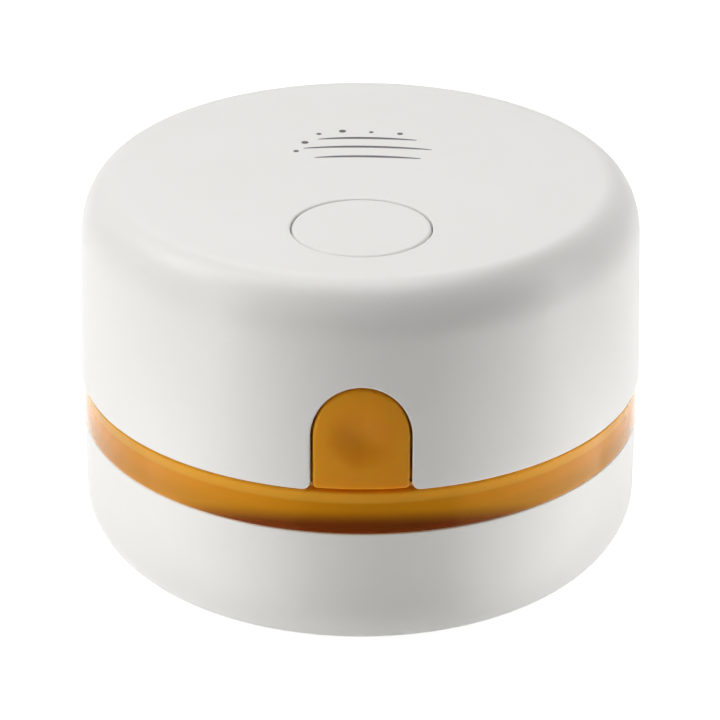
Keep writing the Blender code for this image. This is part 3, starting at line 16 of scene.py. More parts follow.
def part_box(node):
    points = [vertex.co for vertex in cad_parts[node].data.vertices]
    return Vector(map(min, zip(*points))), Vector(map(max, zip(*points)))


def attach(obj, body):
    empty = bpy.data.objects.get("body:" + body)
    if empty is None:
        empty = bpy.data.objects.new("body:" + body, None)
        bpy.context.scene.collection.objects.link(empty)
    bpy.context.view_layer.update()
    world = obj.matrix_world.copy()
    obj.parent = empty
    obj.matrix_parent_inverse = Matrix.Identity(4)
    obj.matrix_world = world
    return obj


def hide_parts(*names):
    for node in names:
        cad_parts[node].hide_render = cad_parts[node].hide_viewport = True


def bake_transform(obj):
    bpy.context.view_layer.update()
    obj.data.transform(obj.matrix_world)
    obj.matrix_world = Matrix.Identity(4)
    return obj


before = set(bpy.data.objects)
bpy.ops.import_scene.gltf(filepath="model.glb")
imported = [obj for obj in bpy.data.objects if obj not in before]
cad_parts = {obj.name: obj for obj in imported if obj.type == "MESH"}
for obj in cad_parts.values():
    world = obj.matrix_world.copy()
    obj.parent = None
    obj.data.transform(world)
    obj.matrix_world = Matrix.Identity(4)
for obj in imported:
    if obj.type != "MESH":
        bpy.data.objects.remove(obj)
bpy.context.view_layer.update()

bl_info = {
    "name": "Desktop Mini Vacuum",
    "version": (1, 0, 0),
    "blender": (4, 5, 0),
    "location": "3D View > Sidebar > Mini Vacuum",
    "description": "Builds the surfaces and finishes of a desktop mini vacuum cleaner",
    "category": "Object",
}

TURN = 2 * math.pi
MERGE = 2e-6
GAP = 0.0003
OVERRUN = 0.001

# Places and sizes read from the frame
SHELL_LOW, SHELL_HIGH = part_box("top_shell")
BASE_LOW, BASE_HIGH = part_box("base_ring")
CUP_LOW, CUP_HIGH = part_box("dust_cup")
LEAF_LOW, LEAF_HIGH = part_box("latch_spring")
SEAM = 0.00005
CAP_SPREAD = 0.00012
LEAF_THICKNESS = 0.0005
LEAF_BEND_Z = 0.036
LEAF_FOOT_Z = 0.0325
BUTTON_LOW, BUTTON_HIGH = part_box("power_button")
TAB_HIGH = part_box("release_button")[1]
TAB_TOP_Z = TAB_HIGH.z - 0.0009
TAB_FLANGE_Y = TAB_HIGH.y - 0.0008
DIMPLE_Z = 0.0373
BUTTON_Y = (BUTTON_LOW.y + BUTTON_HIGH.y) / 2
LIP_RADIUS = 0.0258
PLATE_RADIUS = LIP_RADIUS - GAP
CHIMNEY_RADIUS = 0.0070
BRUSH_RADIUS = 0.0195
BRUSH_WIDTH = 0.0026
BRUSH_ANGLE = math.radians(66)
SHANK_RADIUS = 0.0010
HEAD_RADIUS = 0.0020
HEAD_HEIGHT = 0.0009
SINK_RADIUS = HEAD_RADIUS + GAP
BOSS_RADIUS = 0.0026
BASE_SCREWS = [f"base_screw_{number}" for number in (1, 2, 3)]
FEET = [f"glide_foot_{number}" for number in (1, 2, 3, 4)]
STRIPS = [f"brush_strip_{number}" for number in (1, 2, 3, 4)]
COVER_SCREWS = [f"cover_screw_{number}" for number in (1, 2, 3)]
FRAME_SCREWS = [f"frame_screw_{number}" for number in (1, 2, 3, 4)]
SPIGOT_OUTER = 0.0399
SPIGOT_INNER = 0.0383
SPIGOT_LOW = 0.0265
PLATE_LOW = 0.0322
PLATE_TOP = 0.0340
SCROLL_TOP = 0.0387
SCROLL_RADIUS = 0.0245
FILTER_FLAT = 0.0353

# Colours and roughness of materials that several pieces share
GREY = ("#9FA1A3", "#93959A", 0.42)
FRAME_WHITE = ("#F1F0ED", "#E8E6E2", 0.40)
BLACK = ("#262629", "#1E1E21", 0.5)
ZINC = ("#C9C9CB", 0.32)
NICKEL = ("#CFCBC2", 0.25)

# Each lamp's place, size and share of its group's power
OVERHEAD_LAMPS = (
    ("lamp_top", (0.0, 0.0, 0.6), (0.4, 0.4), 1.34),
    ("lamp_left", (-0.35, 0.0, 0.45), (0.3, 0.3), 0.94),
    ("lamp_back", (0.0, 0.35, 0.45), (0.3, 0.3), 0.47),
)
STRIP_LAMPS = (
    ("strip_left", (-0.0996, -0.0836, 0.06), (0.03, 0.14), 0.58),
    ("strip_right", (0.1256, -0.0336, 0.06), (0.03, 0.14), 0.64),
)
TABLE_PANELS = (("panel_left", -25, 0.19), ("panel_right", 40, 0.27))


# ---------------------------------------------------------------- settings a user would change


def size_setting(name, description, default):
    """A size that a user may change."""
    return FloatProperty(
        name=name, description=description, default=default, unit="LENGTH", precision=4
    )


class HousingSettings(bpy.types.PropertyGroup):
    wall: size_setting("Wall", "Thickness of the two white housings", 0.002)
    draft: size_setting(
        "Draft", "How much narrower the upper housing is where its shoulder starts", 0.0007
    )
    shoulder_in: size_setting(
        "Shoulder in", "How far the shoulder rounds in towards the flat top", 0.0058
    )
    shoulder_down: size_setting(
        "Shoulder down", "How far below the flat top the shoulder starts", 0.0085
    )
    base_round_in: size_setting(
        "Base rounding in", "How far the base's bottom edge rounds in", 0.0092
    )
    base_round_up: size_setting(
        "Base rounding up", "How high the base's bottom edge rounds up", 0.0090
    )
    edge_fillet: FloatProperty(
        name="Edge fillet",
        description="Radius of the moulded edges",
        default=0.00028,
        unit="LENGTH",
        precision=5,
    )
    segments: IntProperty(
        name="Segments",
        description="Faces round each turned piece",
        default=216,
        min=48,
    )


class ControlSettings(bpy.types.PropertyGroup):
    button_radius: size_setting("Button radius", "Radius of the round power button", 0.010)
    tab_half_width: size_setting("Tab half width", "Half of the release tab's width", 0.0069)
    tab_gap: FloatProperty(
        name="Tab gap",
        description="Gap between the release tab and its opening",
        default=0.00035,
        unit="LENGTH",
        precision=5,
    )
    tab_flare: size_setting(
        "Opening flare", "Radius where the opening's sides meet the housing's lower edge", 0.0012
    )
    tab_edge: FloatProperty(
        name="Tab edge",
        description="Radius of the release tab's outer edge",
        default=0.0004,
        unit="LENGTH",
        precision=5,
    )
    dimple_radius: size_setting(
        "Dimple radius", "Radius of the thumb dimple in the release tab", 0.0050
    )
    dimple_depth: size_setting("Dimple depth", "Depth of the thumb dimple", 0.0008)


class UndersideSettings(bpy.types.PropertyGroup):
    tufts: IntProperty(
        name="Tufts",
        description="Bristle tufts along each row of a strip",
        default=22,
        min=4,
    )
    strands: IntProperty(
        name="Strands",
        description="Strands in each tuft",
        default=13,
        min=3,
    )
    strand_radius: FloatProperty(
        name="Strand radius",
        description="Half of a bristle's thickness",
        default=0.00006,
        unit="LENGTH",
        precision=6,
    )


class FinishSettings(bpy.types.PropertyGroup):
    housing_colour: StringProperty(
        name="Housing colour",
        description="sRGB hex colour of the white housings",
        default="#F3F2EF",
    )
    cup_colour: StringProperty(
        name="Cup colour",
        description="sRGB hex colour of the light that passes the clear amber cup",
        default="#F0AC10",
    )
    tab_colour: StringProperty(
        name="Tab colour",
        description="sRGB hex colour of the release tab",
        default="#F3A614",
    )
    print_colour: StringProperty(
        name="Print colour",
        description="sRGB hex colour of the ink on the top face",
        default="#3A3A3C",
    )


class StageSettings(bpy.types.PropertyGroup):
    lens: FloatProperty(
        name="Lens",
        description="Focal length of the camera",
        default=177.0535,
        unit="CAMERA",
    )
    overhead_power: FloatProperty(
        name="Overhead lamps",
        description="Power of the three large soft lamps overhead",
        default=1.0,
        unit="POWER",
    )
    strip_power: FloatProperty(
        name="Strip lamps",
        description="Power of the upright strips beside the object",
        default=0.05,
        unit="POWER",
    )
    table_power: FloatProperty(
        name="Table panels",
        description="Power of the light panels that lie on the table on both sides",
        default=0.15,
        unit="POWER",
    )
    room_light: FloatProperty(
        name="Room light",
        description="Strength of the even light from all sides",
        default=0.01,
    )


# ---------------------------------------------------------------- meshes from computed surfaces


def grid_faces(rows, columns, start):
    """Corner numbers of the quads of a grid whose points are numbered row by row."""
    number = start + np.arange(rows * columns).reshape(rows, columns)
    corners = [number[:-1, :-1], number[1:, :-1], number[1:, 1:], number[:-1, 1:]]
    return np.stack(corners, axis=-1).reshape(-1, 4)


def piece_from(name, grids, material, body, slot, *replaced):
    """One mesh from several grids of points, joined where their borders meet."""
    points = np.concatenate([grid.reshape(-1, 3) for grid in grids])
    starts = np.cumsum([0] + [grid.shape[0] * grid.shape[1] for grid in grids])
    faces = np.concatenate(
        [grid_faces(*grid.shape[:2], start) for grid, start in zip(grids, starts)]
    )
    mesh = bpy.data.meshes.new(name)
    mesh.vertices.add(len(points))
    mesh.vertices.foreach_set("co", points.astype(np.float32).ravel())
    mesh.loops.add(faces.size)
    mesh.loops.foreach_set("vertex_index", faces.astype(np.int32).ravel())
    mesh.polygons.add(len(faces))
    mesh.polygons.foreach_set("loop_start", np.arange(0, faces.size, 4, dtype=np.int32))
    mesh.update(calc_edges=True)
    join_seams(mesh)
    piece = bpy.data.objects.new(name, mesh)
    bpy.context.scene.collection.objects.link(piece)
    if material:
        mesh.materials.append(material)
    if body:
        finish_piece(piece, body, slot, *replaced)
    return piece


def join_seams(mesh):
    """Merges the points where grids meet and turns all faces outwards."""
    shape = bmesh.new()
    shape.from_mesh(mesh)
    bmesh.ops.remove_doubles(shape, verts=shape.verts, dist=MERGE)
    bmesh.ops.dissolve_degenerate(shape, edges=shape.edges, dist=MERGE)
    bmesh.ops.recalc_face_normals(shape, faces=shape.faces)
    shape.to_mesh(mesh)
    shape.free()
    mesh.shade_smooth()
    mesh.set_sharp_from_angle(angle=math.radians(38))


def finish_piece(piece, body, slot, *replaced):
    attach(piece, body)
    if replaced:
        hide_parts(*replaced)


def combine(piece, operation, tools):
    """Applies an exact Boolean of the piece with other closed pieces, which are then removed."""
    for tool in tools:
        modifier = piece.modifiers.new("cut", "BOOLEAN")
        modifier.operation = operation
        modifier.solver = "EXACT"
        modifier.object = tool
    bpy.context.view_layer.update()
    shown = piece.evaluated_get(bpy.context.evaluated_depsgraph_get())
    mesh = bpy.data.meshes.new_from_object(shown)
    piece.modifiers.clear()
    old = piece.data
    piece.data = mesh
    mesh.name = old.name
    bpy.data.meshes.remove(old)
    for tool in tools:
        bpy.data.objects.remove(tool, do_unlink=True)
    mesh.shade_smooth()
    mesh.set_sharp_from_angle(angle=math.radians(38))
    return piece


def profile(corners, steps=6, support=0.00025):
    """Corners (radius, height, fillet) as a line whose corners are arcs tangent to both sides,
    with a support point on each long side next to each arc."""
    count = len(corners)
    line = []
    for number, (x, y, fillet) in enumerate(corners):
        here = np.array((x, y))
        if not fillet:
            line.append(here)
            continue
        before = np.array(corners[(number - 1) % count][:2]) - here
        after = np.array(corners[(number + 1) % count][:2]) - here
        long_before, long_after = np.linalg.norm(before), np.linalg.norm(after)
        before, after = before / long_before, after / long_after
        half = math.acos(np.clip(before @ after, -1, 1)) / 2
        reach = fillet / math.tan(half)
        middle = before + after
        centre = here + middle / np.linalg.norm(middle) * fillet / math.sin(half)
        start, end = here + before * reach - centre, here + after * reach - centre
        swing = math.atan2(start[0] * end[1] - start[1] * end[0], start @ end)
        turns = np.linspace(0, swing, steps + 1)[:, None]
        side = np.array((-start[1], start[0]))
        arc = centre + start * np.cos(turns) + side * np.sin(turns)
        if long_before > 3 * (reach + support):
            line.append(arc[0] + before * support)
        line.extend(arc)
        if long_after > 3 * (reach + support):
            line.append(arc[-1] + after * support)
    return np.array(line)


def turned(line, segments, centre=(0, 0), closed=True):
    """Radius and height swung round an upright axis: x and y are radius times cosine and sine."""
    if closed:
        line = np.concatenate([line, line[:1]])
    turns = np.linspace(0, TURN, segments + 1)
    turns[-1] = 0
    x = centre[0] + np.cos(turns)[:, None] * line[:, 0]
    y = centre[1] + np.sin(turns)[:, None] * line[:, 0]
    z = np.broadcast_to(line[:, 1], x.shape)
    return np.stack([x, y, z], axis=-1)


def ellipse_arc(centre, radii, start, end, steps):
    """Points centre + (a cos t, b sin t) for t from start to end."""
    turns = np.linspace(start, end, steps + 1)
    return np.stack(
        [centre[0] + radii[0] * np.cos(turns), centre[1] + radii[1] * np.sin(turns)], axis=-1
    )


def ruled(inner, outer, shares):
    """Each point slides on a straight line from its place on one curve to that on the other."""
    shares = np.asarray(shares)[:, None, None]
    return inner + (outer - inner) * shares


def carried(ring, low, high, place=None, edge=0.0):
    """A closed outline in x and y carried from one height to another, with rounded edges of the
    given radius and its ends closed to the middle, then moved by a matrix."""
    middle = (ring.min(axis=0) + ring.max(axis=0)) / 2
    loop = np.concatenate([ring, ring[:1]])
    reach = np.linalg.norm(loop - middle, axis=1).max()
    turns = np.linspace(0, math.pi / 2, 5) if edge else np.array([math.pi / 2])
    shares = 1 - edge * (1 - np.sin(turns)) / reach
    rise = edge * (1 - np.cos(turns))
    shares = np.concatenate([[0], shares, shares[::-1], [0]])
    heights = np.concatenate([[low], low + rise, high - rise[::-1], [high]])
    flat = middle + (loop - middle) * shares[:, None, None]
    upright = np.broadcast_to(heights[:, None, None], flat.shape[:2] + (1,))
    grid = np.concatenate([flat, upright], axis=-1)
    return grid if place is None else moved(grid, place)


def moved(grid, place):
    place = np.array(place)
    return grid @ place[:3, :3].T + place[:3, 3]


def block(low, high, edge=0.0):
    """A closed box between two corners."""
    (x0, y0, z0), (x1, y1, z1) = low, high
    ring = np.array([[x0, y0], [x1, y0], [x1, y1], [x0, y1]], float)
    return carried(ring, z0, z1, edge=edge)


def arched_bar(inner, outer, angle, low, high, middle, steps=40):
    """A closed bar bent round the Z axis, centred on an angle: its square section swung along."""
    turns = middle + np.linspace(-angle / 2, angle / 2, steps + 1)
    turns = np.concatenate([turns[:1], turns, turns[-1:]])
    section = np.array([[inner, low], [outer, low], [outer, high], [inner, high], [inner, low]])
    centre = section[:4].mean(axis=0)
    shares = np.ones(len(turns))
    shares[[0, -1]] = 0
    section = centre + (section - centre) * shares[:, None, None]
    return np.stack(
        [
            section[..., 0] * np.cos(turns)[:, None],
            section[..., 0] * np.sin(turns)[:, None],
            section[..., 1],
        ],
        axis=-1,
    )


def peg(radius, low, high, place=(0, 0), segments=48):
    """A closed upright cylinder."""
    line = np.array([[0, low], [radius, low], [radius, high], [0, high]], float)
    return turned(line, segments, place, closed=False)


def tool(*grids):
    """A closed shape that a Boolean uses up."""
    return piece_from("tool", list(grids), None, None, None)


def middle_of(node):
    low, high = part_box(node)
    return ((low.x + high.x) / 2, (low.y + high.y) / 2)


# ---------------------------------------------------------------- materials


def linear(code, alpha=1.0):
    """An sRGB hex colour as linear red, green, blue and alpha."""
    values = [int(code[place : place + 2], 16) / 255 for place in (1, 3, 5)]
    return (*(v / 12.92 if v <= 0.04045 else ((v + 0.055) / 1.055) ** 2.4 for v in values), alpha)


def add_node(tree, kind, settings=None, **links):
    """A node with its properties set, and its inputs given as values or as sockets to link from.
    An input is named in lower case with _ for a space, or as in_0 where its name repeats."""
    node = tree.nodes.new(kind)
    for key, value in (settings or {}).items():
        setattr(node, key, value)
    for key, value in links.items():
        if key.startswith("in_"):
            socket = node.inputs[int(key[3:])]
        else:
            socket = next(s for s in node.inputs if s.name.lower().replace(" ", "_") == key)
        if isinstance(value, bpy.types.NodeSocket):
            tree.links.new(value, socket)
        else:
            socket.default_value = value
    return node


def new_material(name, **values):
    """A material with one Principled shader whose own sockets hold the constant values."""
    material = bpy.data.materials.new(name)
    material.use_nodes = True
    tree = material.node_tree
    tree.nodes.clear()
    shader = add_node(tree, "ShaderNodeBsdfPrincipled", **values)
    add_node(tree, "ShaderNodeOutputMaterial", surface=shader.outputs[0])
    return material, tree, shader


def fine_bump(tree, shader, size_mm, depth_mm, detail=2.0, coords=None):
    """A moulded or cast grain: noise of the given size drives a bump of the given depth."""
    if coords is None:
        coords = add_node(tree, "ShaderNodeTexCoord").outputs["Object"]
    noise = add_node(
        tree, "ShaderNodeTexNoise", vector=coords, scale=1000 / size_mm, detail=detail
    )
    bump = add_node(
        tree, "ShaderNodeBump", strength=1.0, distance=depth_mm / 1000, height=noise.outputs["Fac"]
    )
    tree.links.new(bump.outputs["Normal"], shader.inputs["Normal"])
    return noise


def vary(tree, shader, socket, low, high, size_mm, coords=None):
    """Lets a value wander between two levels over patches of the given size."""
    if coords is None:
        coords = add_node(tree, "ShaderNodeTexCoord").outputs["Object"]
    noise = add_node(tree, "ShaderNodeTexNoise", vector=coords, scale=1000 / size_mm, detail=3.0)
    spread = add_node(
        tree,
        "ShaderNodeMapRange",
        value=noise.outputs["Fac"],
        from_min=0.3,
        from_max=0.7,
        to_min=low,
        to_max=high,
    )
    tree.links.new(spread.outputs["Result"], shader.inputs[socket])


def tint(tree, shader, code, darker, size_mm):
    """Lets a colour wander between itself and a slightly darker one over patches of the size."""
    coords = add_node(tree, "ShaderNodeTexCoord").outputs["Object"]
    noise = add_node(tree, "ShaderNodeTexNoise", vector=coords, scale=1000 / size_mm, detail=4.0)
    mix = add_node(
        tree,
        "ShaderNodeMix",
        {"data_type": "RGBA"},
        in_0=noise.outputs["Fac"],
        in_6=linear(code),
        in_7=linear(darker),
    )
    tree.links.new(mix.outputs[2], shader.inputs["Base Color"])


def moulded_abs(colour):
    """ABS moulded in a satin tool: white, with a soft sheen and a grain too fine to see singly."""
    material, tree, shader = new_material(
        "satin_moulded_abs",
        base_color=linear(colour),
        roughness=0.36,
        ior=1.54,
        subsurface_weight=0.04,
        subsurface_radius=(0.9, 0.8, 0.7),
        subsurface_scale=0.001,
    )
    tint(tree, shader, colour, "#EFEEEA", 14)
    fine_bump(tree, shader, 0.35, 0.0012)
    vary(tree, shader, "Roughness", 0.33, 0.40, 3)
    return material


def between(tree, value, start, end):
    """How far a value has come from one level to another, from 0 to 1, eased at both ends."""
    node = add_node(
        tree,
        "ShaderNodeMapRange",
        {"interpolation_type": "SMOOTHSTEP"},
        value=value,
        from_min=start,
        from_max=end,
    )
    return node.outputs["Result"]


def mixed(tree, share, first, second):
    """The mix of two colours, each given as a socket or as linear values."""
    node = add_node(
        tree, "ShaderNodeMix", {"data_type": "RGBA"}, in_0=share, in_6=first, in_7=second
    )
    return node.outputs[2]


def clear_amber(colour):
    """Clear SAN moulded in a polished tool: slightly milky amber. On the outer skin of the ring
    that shows between the housings, painted light makes the rim a lighter straw yellow, and painted
    shade deepens the foot to red brown round the front. The light that passes the walls is tinted,
    so the inside of the cup is lit in amber."""
    material, tree, shader = new_material(
        "polished_clear_san",
        base_color=linear(colour),
        roughness=0.12,
        ior=1.45,
        specular_tint=linear("#EFA53A"),
        specular_ior_level=0.35,
        transmission_weight=0.5,
    )
    coords = add_node(tree, "ShaderNodeTexCoord").outputs["Object"]
    height = add_node(tree, "ShaderNodeSeparateXYZ", vector=coords).outputs["Z"]
    flat = add_node(
        tree, "ShaderNodeVectorMath", {"operation": "MULTIPLY"}, in_0=coords, in_1=(1, 1, 0)
    )
    reach = add_node(
        tree, "ShaderNodeVectorMath", {"operation": "LENGTH"}, in_0=flat.outputs["Vector"]
    )
    # Painted light and shade go only on the ring's outer skin; inside, the cup keeps its plain
    # colour.
    painted_skin = between(tree, reach.outputs["Value"], CUP_HIGH.x - 0.0012, CUP_HIGH.x - 0.0004)
    # Painted shade: towards the bottom and the front the colour deepens to red brown, standing for
    # the shade of the dark inside of the cup seen through the wall.
    slope = add_node(
        tree, "ShaderNodeVectorMath", {"operation": "DOT_PRODUCT"}, in_0=coords, in_1=(0, 0.36, 1)
    )
    front = 0.36 * CUP_LOW.y
    foot = between(tree, slope.outputs["Value"], front + 0.0264, front + 0.0234)
    body = mixed(tree, foot, linear(colour), linear("#741A00"))
    # Painted light: a lighter straw yellow along the rim stands for the lit rim with the white
    # spigot behind it.
    ring = mixed(tree, between(tree, height, 0.0268, 0.0273), body, linear("#FAC943"))
    shown = mixed(tree, painted_skin, linear(colour), ring)
    tree.links.new(shown, shader.inputs["Base Color"])
    fine_bump(tree, shader, 9, 0.004, detail=0.0, coords=coords)
    passed = add_node(tree, "ShaderNodeBsdfTransparent", color=linear("#FFE7A8"))
    lit = add_node(tree, "ShaderNodeLightPath").outputs["Is Shadow Ray"]
    mix = add_node(
        tree, "ShaderNodeMixShader", in_0=lit, in_1=shader.outputs[0], in_2=passed.outputs[0]
    )
    output = next(node for node in tree.nodes if node.type == "OUTPUT_MATERIAL")
    tree.links.new(mix.outputs[0], output.inputs["Surface"])
    return material


def amber_tab(colour):
    """Translucent ABS in the cup's amber: a soft satin face, a little darker in the dimple."""
    material, tree, shader = new_material(
        "translucent_amber_abs",
        base_color=linear(colour),
        roughness=0.45,
        ior=1.54,
        specular_ior_level=0.15,
        subsurface_weight=0.8,
        subsurface_radius=(1.0, 0.4, 0.05),
        subsurface_scale=0.0022,
    )
    coords = add_node(tree, "ShaderNodeTexCoord").outputs["Object"]
    controls = bpy.context.scene.vacuum_controls
    dimple = (0, -side_radius(DIMPLE_Z), DIMPLE_Z)
    away = add_node(
        tree, "ShaderNodeVectorMath", {"operation": "DISTANCE"}, in_0=coords, in_1=dimple
    )
    dimple_share = add_node(
        tree,
        "ShaderNodeMapRange",
        {"interpolation_type": "SMOOTHSTEP"},
        value=away.outputs["Value"],
        from_min=controls.dimple_radius * 0.55,
        from_max=controls.dimple_radius * 1.1,
        to_min=1.0,
        to_max=0.0,
    )
    clouds = add_node(tree, "ShaderNodeTexNoise", vector=coords, scale=200, detail=3.0)
    body = add_node(
        tree,
        "ShaderNodeMix",
        {"data_type": "RGBA"},
        in_0=clouds.outputs["Fac"],
        in_6=linear(colour),
        in_7=linear("#EE9F10"),
    )
    deep = add_node(
        tree,
        "ShaderNodeMix",
        {"data_type": "RGBA"},
        in_0=dimple_share.outputs["Result"],
        in_6=body.outputs[2],
        in_7=linear("#E8980E"),
    )
    tree.links.new(deep.outputs[2], shader.inputs["Base Color"])
    fine_bump(tree, shader, 0.4, 0.0015, coords=coords)
    return material


def plain_plastic(name, colour, darker, roughness, grain_mm=0.4, depth_mm=0.002):
    """A moulded plastic with a tool grain and slight clouding of its colour."""
    material, tree, shader = new_material(
        name, base_color=linear(colour), roughness=roughness, ior=1.5
    )
    tint(tree, shader, colour, darker, 4)
    fine_bump(tree, shader, grain_mm, depth_mm)
    return material


def bristle_nylon():
    """Drawn nylon strands: near black, each a little lighter or darker than the next."""
    material, tree, shader = new_material(
        "drawn_nylon", base_color=linear("#2B2B2E"), roughness=0.42, ior=1.53
    )
    tint(tree, shader, "#1F1F22", "#4A4A4E", 0.4)
    fine_bump(tree, shader, 0.1, 0.004)
    return material


def moulded_silicone():
    """Silicone rubber from a blasted tool: grey and quite matt."""
    material, tree, shader = new_material(
        "moulded_silicone", base_color=linear("#B4B5B6"), roughness=0.62, ior=1.42
    )
    tint(tree, shader, "#B9BABB", "#A5A6A8", 2)
    fine_bump(tree, shader, 0.25, 0.004)
    return material


def metal(name, colour, roughness, streak_mm=None):
    """A plated or drawn metal: its roughness wanders, and drawn parts have fine lines round
    them."""
    material, tree, shader = new_material(
        name, base_color=linear(colour), roughness=roughness, metallic=1.0
    )
    vary(tree, shader, "Roughness", roughness * 0.8, roughness * 1.25, 1.2)
    if streak_mm:
        coords = add_node(tree, "ShaderNodeTexCoord").outputs["Object"]
        squeezed = add_node(
            tree, "ShaderNodeMapping", vector=coords, scale=(0.06, 0.06, 1.0)
        ).outputs[0]
        fine_bump(tree, shader, streak_mm, 0.002, coords=squeezed)
    else:
        fine_bump(tree, shader, 0.3, 0.001)
    return material


def filter_paper():
    """Pressed fibre paper: off-white, quite matt, with a felted surface."""
    material, tree, shader = new_material(
        "pressed_fibre_paper", base_color=linear("#ECEADF"), roughness=0.9, ior=1.45
    )
    tint(tree, shader, "#F0EEE4", "#DEDACB", 1.2)
    fine_bump(tree, shader, 0.22, 0.03, detail=5.0)
    return material


def closed_foam():
    """Closed-cell foam: black and pitted with cells about 0.3 mm across."""
    material, tree, shader = new_material(
        "closed_cell_foam", base_color=linear("#202022"), roughness=0.95, ior=1.4
    )
    coords = add_node(tree, "ShaderNodeTexCoord").outputs["Object"]
    cells = add_node(tree, "ShaderNodeTexVoronoi", vector=coords, scale=1000 / 0.3)
    bump = add_node(
        tree, "ShaderNodeBump", strength=1.0, distance=0.00008, height=cells.outputs["Distance"]
    )
    tree.links.new(bump.outputs["Normal"], shader.inputs["Normal"])
    return material


def shrink_film():
    """Printed shrink film on the cell: glossy green with faint lengthwise flow lines."""
    material, tree, shader = new_material(
        "shrink_film", base_color=linear("#2F8F5E"), roughness=0.28, ior=1.5
    )
    coords = add_node(tree, "ShaderNodeTexCoord").outputs["Object"]
    along = add_node(tree, "ShaderNodeMapping", vector=coords, scale=(0.05, 1.0, 1.0)).outputs[0]
    tint(tree, shader, "#2F8F5E", "#287D52", 3)
    fine_bump(tree, shader, 0.8, 0.006, coords=along)
    return material


def solder_mask():
    """Solder mask over copper: green, with slightly lighter tracks every 0.8 mm."""
    material, tree, shader = new_material(
        "solder_mask", base_color=linear("#1F6B43"), roughness=0.35, ior=1.52
    )
    coords = add_node(tree, "ShaderNodeTexCoord").outputs["Object"]
    tracks = add_node(
        tree,
        "ShaderNodeTexBrick",
        vector=coords,
        color1=linear("#24784C"),
        color2=linear("#1F6B43"),
        mortar=linear("#17553A"),
        scale=1000 / 0.8,
        mortar_size=0.03,
    )
    tree.links.new(tracks.outputs["Color"], shader.inputs["Base Color"])
    fine_bump(tree, shader, 0.5, 0.004)
    return material


def pad_ink(colour):
    """Pad-printed ink: dark grey, a little glossier than the ABS under it, its tone wandering a
    little.
    """
    material, tree, shader = new_material(
        "pad_printed_ink", base_color=linear(colour), roughness=0.45, ior=1.5
    )
    tint(tree, shader, colour, "#4A4A4D", 0.8)
    fine_bump(tree, shader, 0.25, 0.001)
    return material


def coated(node, material):
    """Gives a CAD node its finish."""
    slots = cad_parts[node].material_slots
    for slot in slots:
        slot.material = material
    if not slots:
        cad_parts[node].data.materials.append(material)


_made = {}


def shared(name, maker, *values):
    """The material of that name, made when the first piece asks for it."""
    if name not in _made:
        _made[name] = maker(*values)
    return _made[name]


def housing_finish():
    return shared("housing", moulded_abs, bpy.context.scene.vacuum_finish.housing_colour)


# ---------------------------------------------------------------- upper housing


def side_radius(z):
    """The upper housing's outer radius on its drafted wall."""
    housing = bpy.context.scene.vacuum_housing
    shoulder_z = SHELL_HIGH.z - housing.shoulder_down
    share = (z - SHELL_LOW.z) / (shoulder_z - SHELL_LOW.z)
    return SHELL_HIGH.x - housing.draft * share


def arch_line(grow, bottom, arch_steps, side_steps):
    """Half of the tab's outline in (x, z), from its foot up to its crown: a straight side under a
    quarter ellipse, grown outwards by a margin."""
    controls = bpy.context.scene.vacuum_controls
    half = controls.tab_half_width + grow
    rise = controls.tab_half_width * 1.12 + grow
    spring = TAB_TOP_Z + grow - rise
    side = np.column_stack(
        [np.full(side_steps, half), np.linspace(bottom, spring, side_steps, endpoint=False)]
    )
    arch = ellipse_arc((0, spring), (half, rise), 0, math.pi / 2, arch_steps)
    return np.concatenate([side, arch])


def opening_line(inset):
    """The right half of the tab's opening in (x, z) and its inward normals: from the housing's
    lower edge round the flare, up the side and over to the crown, moved out by an inset."""
    controls = bpy.context.scene.vacuum_controls
    half = controls.tab_half_width + controls.tab_gap
    flare = controls.tab_flare
    centre = (half + flare, SHELL_LOW.z + flare)
    radius = flare - inset
    foot = ellipse_arc(centre, (radius, radius), -math.pi / 2, -math.pi, 6)
    arch = arch_line(controls.tab_gap + inset, SHELL_LOW.z + flare, 22, 10)
    return np.concatenate([foot[:-1], arch])


